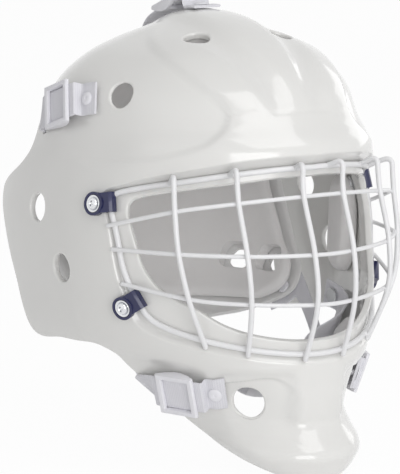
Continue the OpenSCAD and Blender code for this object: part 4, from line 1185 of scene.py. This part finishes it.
def padLump(c, u, v, thick, sides=96):
    a = turns(sides)
    section = [(k, 0) for k in np.linspace(0.02, 0.9, 14)]  # width and height from the wall, as shares
    section += [(0.97, 0.05), (1.0, 0.16), (1.005, 0.28), (0.995, 0.42), (0.975, 0.56), (0.94, 0.69),
                (0.89, 0.8), (0.82, 0.88)]
    section += [(k, 0.88 + 0.12 * (1 - (k / 0.82) ** 2) ** 0.8) for k in np.linspace(0.78, 0.02, 16)]
    ring = roundSquare(a)[:, None] * around(a, u, v)
    return sweep([skin(c + k * ring, -shellSize["wall"] - padGap - h * thick, 0) for k, h in section])


for node, shape in padShapes.items():
    for side, lump in zip(("",) if shape[0][0] == 0 else ("left", "right"), bothHands(padLump(*shape))):
        name, padNode = node.replace("_pad", "Pad") + side.title(), node + (f"_{side}" if side else "")
        piece = finished(name, lump, 60, "lining", "mask", "foam", padNode)
print("pads made")

# Chin cup, on straps that swing on studs
cupShape = {"radius": 33, "wall": 2.2, "foam": 6, "foamGap": 0.8, "strap": 19, "strapGap": 0.4,
            "strapIn": 9.1}
cupAxis = vec(0, -70, -64)
cupLook = unit(vec(0, -0.62, -0.78))
cupUp = vec(0, -cupLook[2], cupLook[1])
cupSides = [vec(0.6, -0.52, -0.6), vec(0.86, -0.3, -0.42), vec(0.98, 0.02, -0.2)]  # under the strap


def cupAt(s, a, r, wide, high):
    ring = (s * roundSquare(a, 2.6))[:, None] * around(a, vec(wide, 0, 0), high * cupUp)
    return cupAxis + r * unit(cupLook + ring)


def cupLump(outer, inner, wide, high):
    a = -turns(120)
    section = [(s, outer) for s in np.linspace(0.02, 0.97, 20)]
    section += [(0.97 + 0.03 * math.sin(k), outer + (inner - outer) * (1 - math.cos(k)) / 2)
                for k in np.radians([30, 60, 90, 120, 150])]
    section += [(s, inner) for s in np.linspace(0.97, 0.02, 20)]
    return sweep([cupAt(s, a, r, wide, high) for s, r in section])


cupRadius = cupShape["radius"]
cupOutside = cupRadius + cupShape["wall"]
lump = cupLump(cupOutside, cupRadius, 1.9, 0.72)
finished("chinCup", lump, 50, "buckle", "chin_cup", "cup", "chin_cup")
lump = cupLump(cupRadius - cupShape["foamGap"], cupRadius - cupShape["foam"], 1.75, 0.62)
cupFoam = finished("chinCupFoam", lump, 50, "lining", "chin_cup", "foam", "chin_cup_foam")


def onCup(v, t):
    d = unit(v)
    return edges(cupAxis + (cupOutside + cupShape["strapGap"]) * d, d, t, cupShape["strap"])


studFoot = skin(vec(102, -30, -46), -shellSize["wall"])
x, y, z = studFoot[0] - cupShape["strapIn"], studFoot[1], studFoot[2]
path = [vec(x, y + 9, z + 2), vec(x, y, z), vec(x, y - 7, z - 2), vec(x - 5, y - 15, z - 6),
        vec(x - 22, y - 30, z - 14)]
facing = [(1, 0, 0), (1, 0, 0), (1, 0, 0), (0.8, -0.4, -0.42), (0.6, -0.75, -0.3)]
ahead = path[1:] + path[-1:]
behind = path[:1] + path[:-1]
chinRows = [edges(p, n, a - b, cupShape["strap"]) for p, n, a, b in zip(path, facing, ahead, behind)]
chinRows += [onCup(cupSides[2], (-0.4, -1, -0.25)), onCup(cupSides[1], (-0.35, -1, -0.3)),
             onCup(cupSides[0], (-1, -0.8, -0.5))]
for side in ("left", "right"):
    strap = strapPiece(f"chinStrap{side.title()}", chinRows, side == "right")
    dressed(strap, "web", "chin_cup", "webbing", f"chin_strap_{side}")
look = unit(cupSides[1])
lump = rivet(cupAxis + cupOutside * look, look, -cupShape["wall"] - 0.8, harness["thick"] + 0.6)
finished("cupRivets", paired([lump]), 35, "buckle", "chin_cup", "buckle", "chin_cup_rivets")
reach = cupShape["strapIn"]
stud = [(0, -1.9), (5.1, -1.9), (5.5, -1.6), (5.5, -0.7), (5.1, -0.3), (2.25, -0.3), (2.25, 2.1), (4.25, 2.1),
        (4.25, reach - 0.6), (2.25, reach - 0.6), (2.25, reach + 2.5), (0, reach + 2.5)]
lump = lathe(stud, 40, (x, y, z), (1, 0, 0), (0, 0, 1))
finished("chinStuds", paired([lump]), 35, "steel", "mask", "steel", "chin_studs")
print("chin cup made")

# Floor and light: the world lights the mask more weakly than it shows, and white is the floor's own glow
light = {"floor": (0.97, 0.97, 0.97), "floorHalf": 9000, "world": 0.43, "white": 0.96}
lamps = {"keyLight": ((0.2, -1.3, 1.7), (1.6, 1.2), 10.5), "fillLight": ((-1.9, -0.5, 0.6), (1.2, 1.2), 0.5),
         "backLight": ((1.9, 0.5, 0.5), (0.8, 0.8), 1.8), "frontLight": ((-0.6, -1.9, 0.3), (1.3, 1.0), 13)}
half, low = light["floorHalf"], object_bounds()[0][2] / mm
corners = [(x * half, y * half, low) for x, y in ((-1, -1), (1, -1), (1, 1), (-1, 1))]
floor = makePiece("floor", corners, [[0, 1, 2, 3]])
ground = Finish("pale floor", Base_Color=light["floor"], Roughness=0.8)
glow = ground.add("ShaderNodeEmission", {}, {"Color": (1, 1, 1), "Strength": 1.0})
surface = {0: ground.seen() * light["white"], 1: Flow(ground, ground.shader.outputs[0]), 2: glow}
blend = ground.add("ShaderNodeMixShader", {}, surface)
ground.put(ground.tree.nodes["Material Output"].inputs["Surface"], blend)
floor.data.materials.append(ground.material)
for name, (where, size, power) in lamps.items():
    lamp = bpy.data.lights.new(name, "AREA")
    lamp.shape, lamp.size, lamp.size_y, lamp.energy = "RECTANGLE", size[0], size[1], power
    holder = bpy.data.objects.new(name, lamp)
    holder.location = where
    holder.rotation_euler = (-Vector(where)).to_track_quat("-Z", "Y").to_euler()
    bpy.context.scene.collection.objects.link(holder)
world = bpy.data.worlds.new("studio")
bpy.context.scene.world = world
sky = Nodes(world, "Background")
sky.feed(Color=(1, 1, 1), Strength=light["world"] + sky.seen() * (1 - light["world"]))
print("light set")
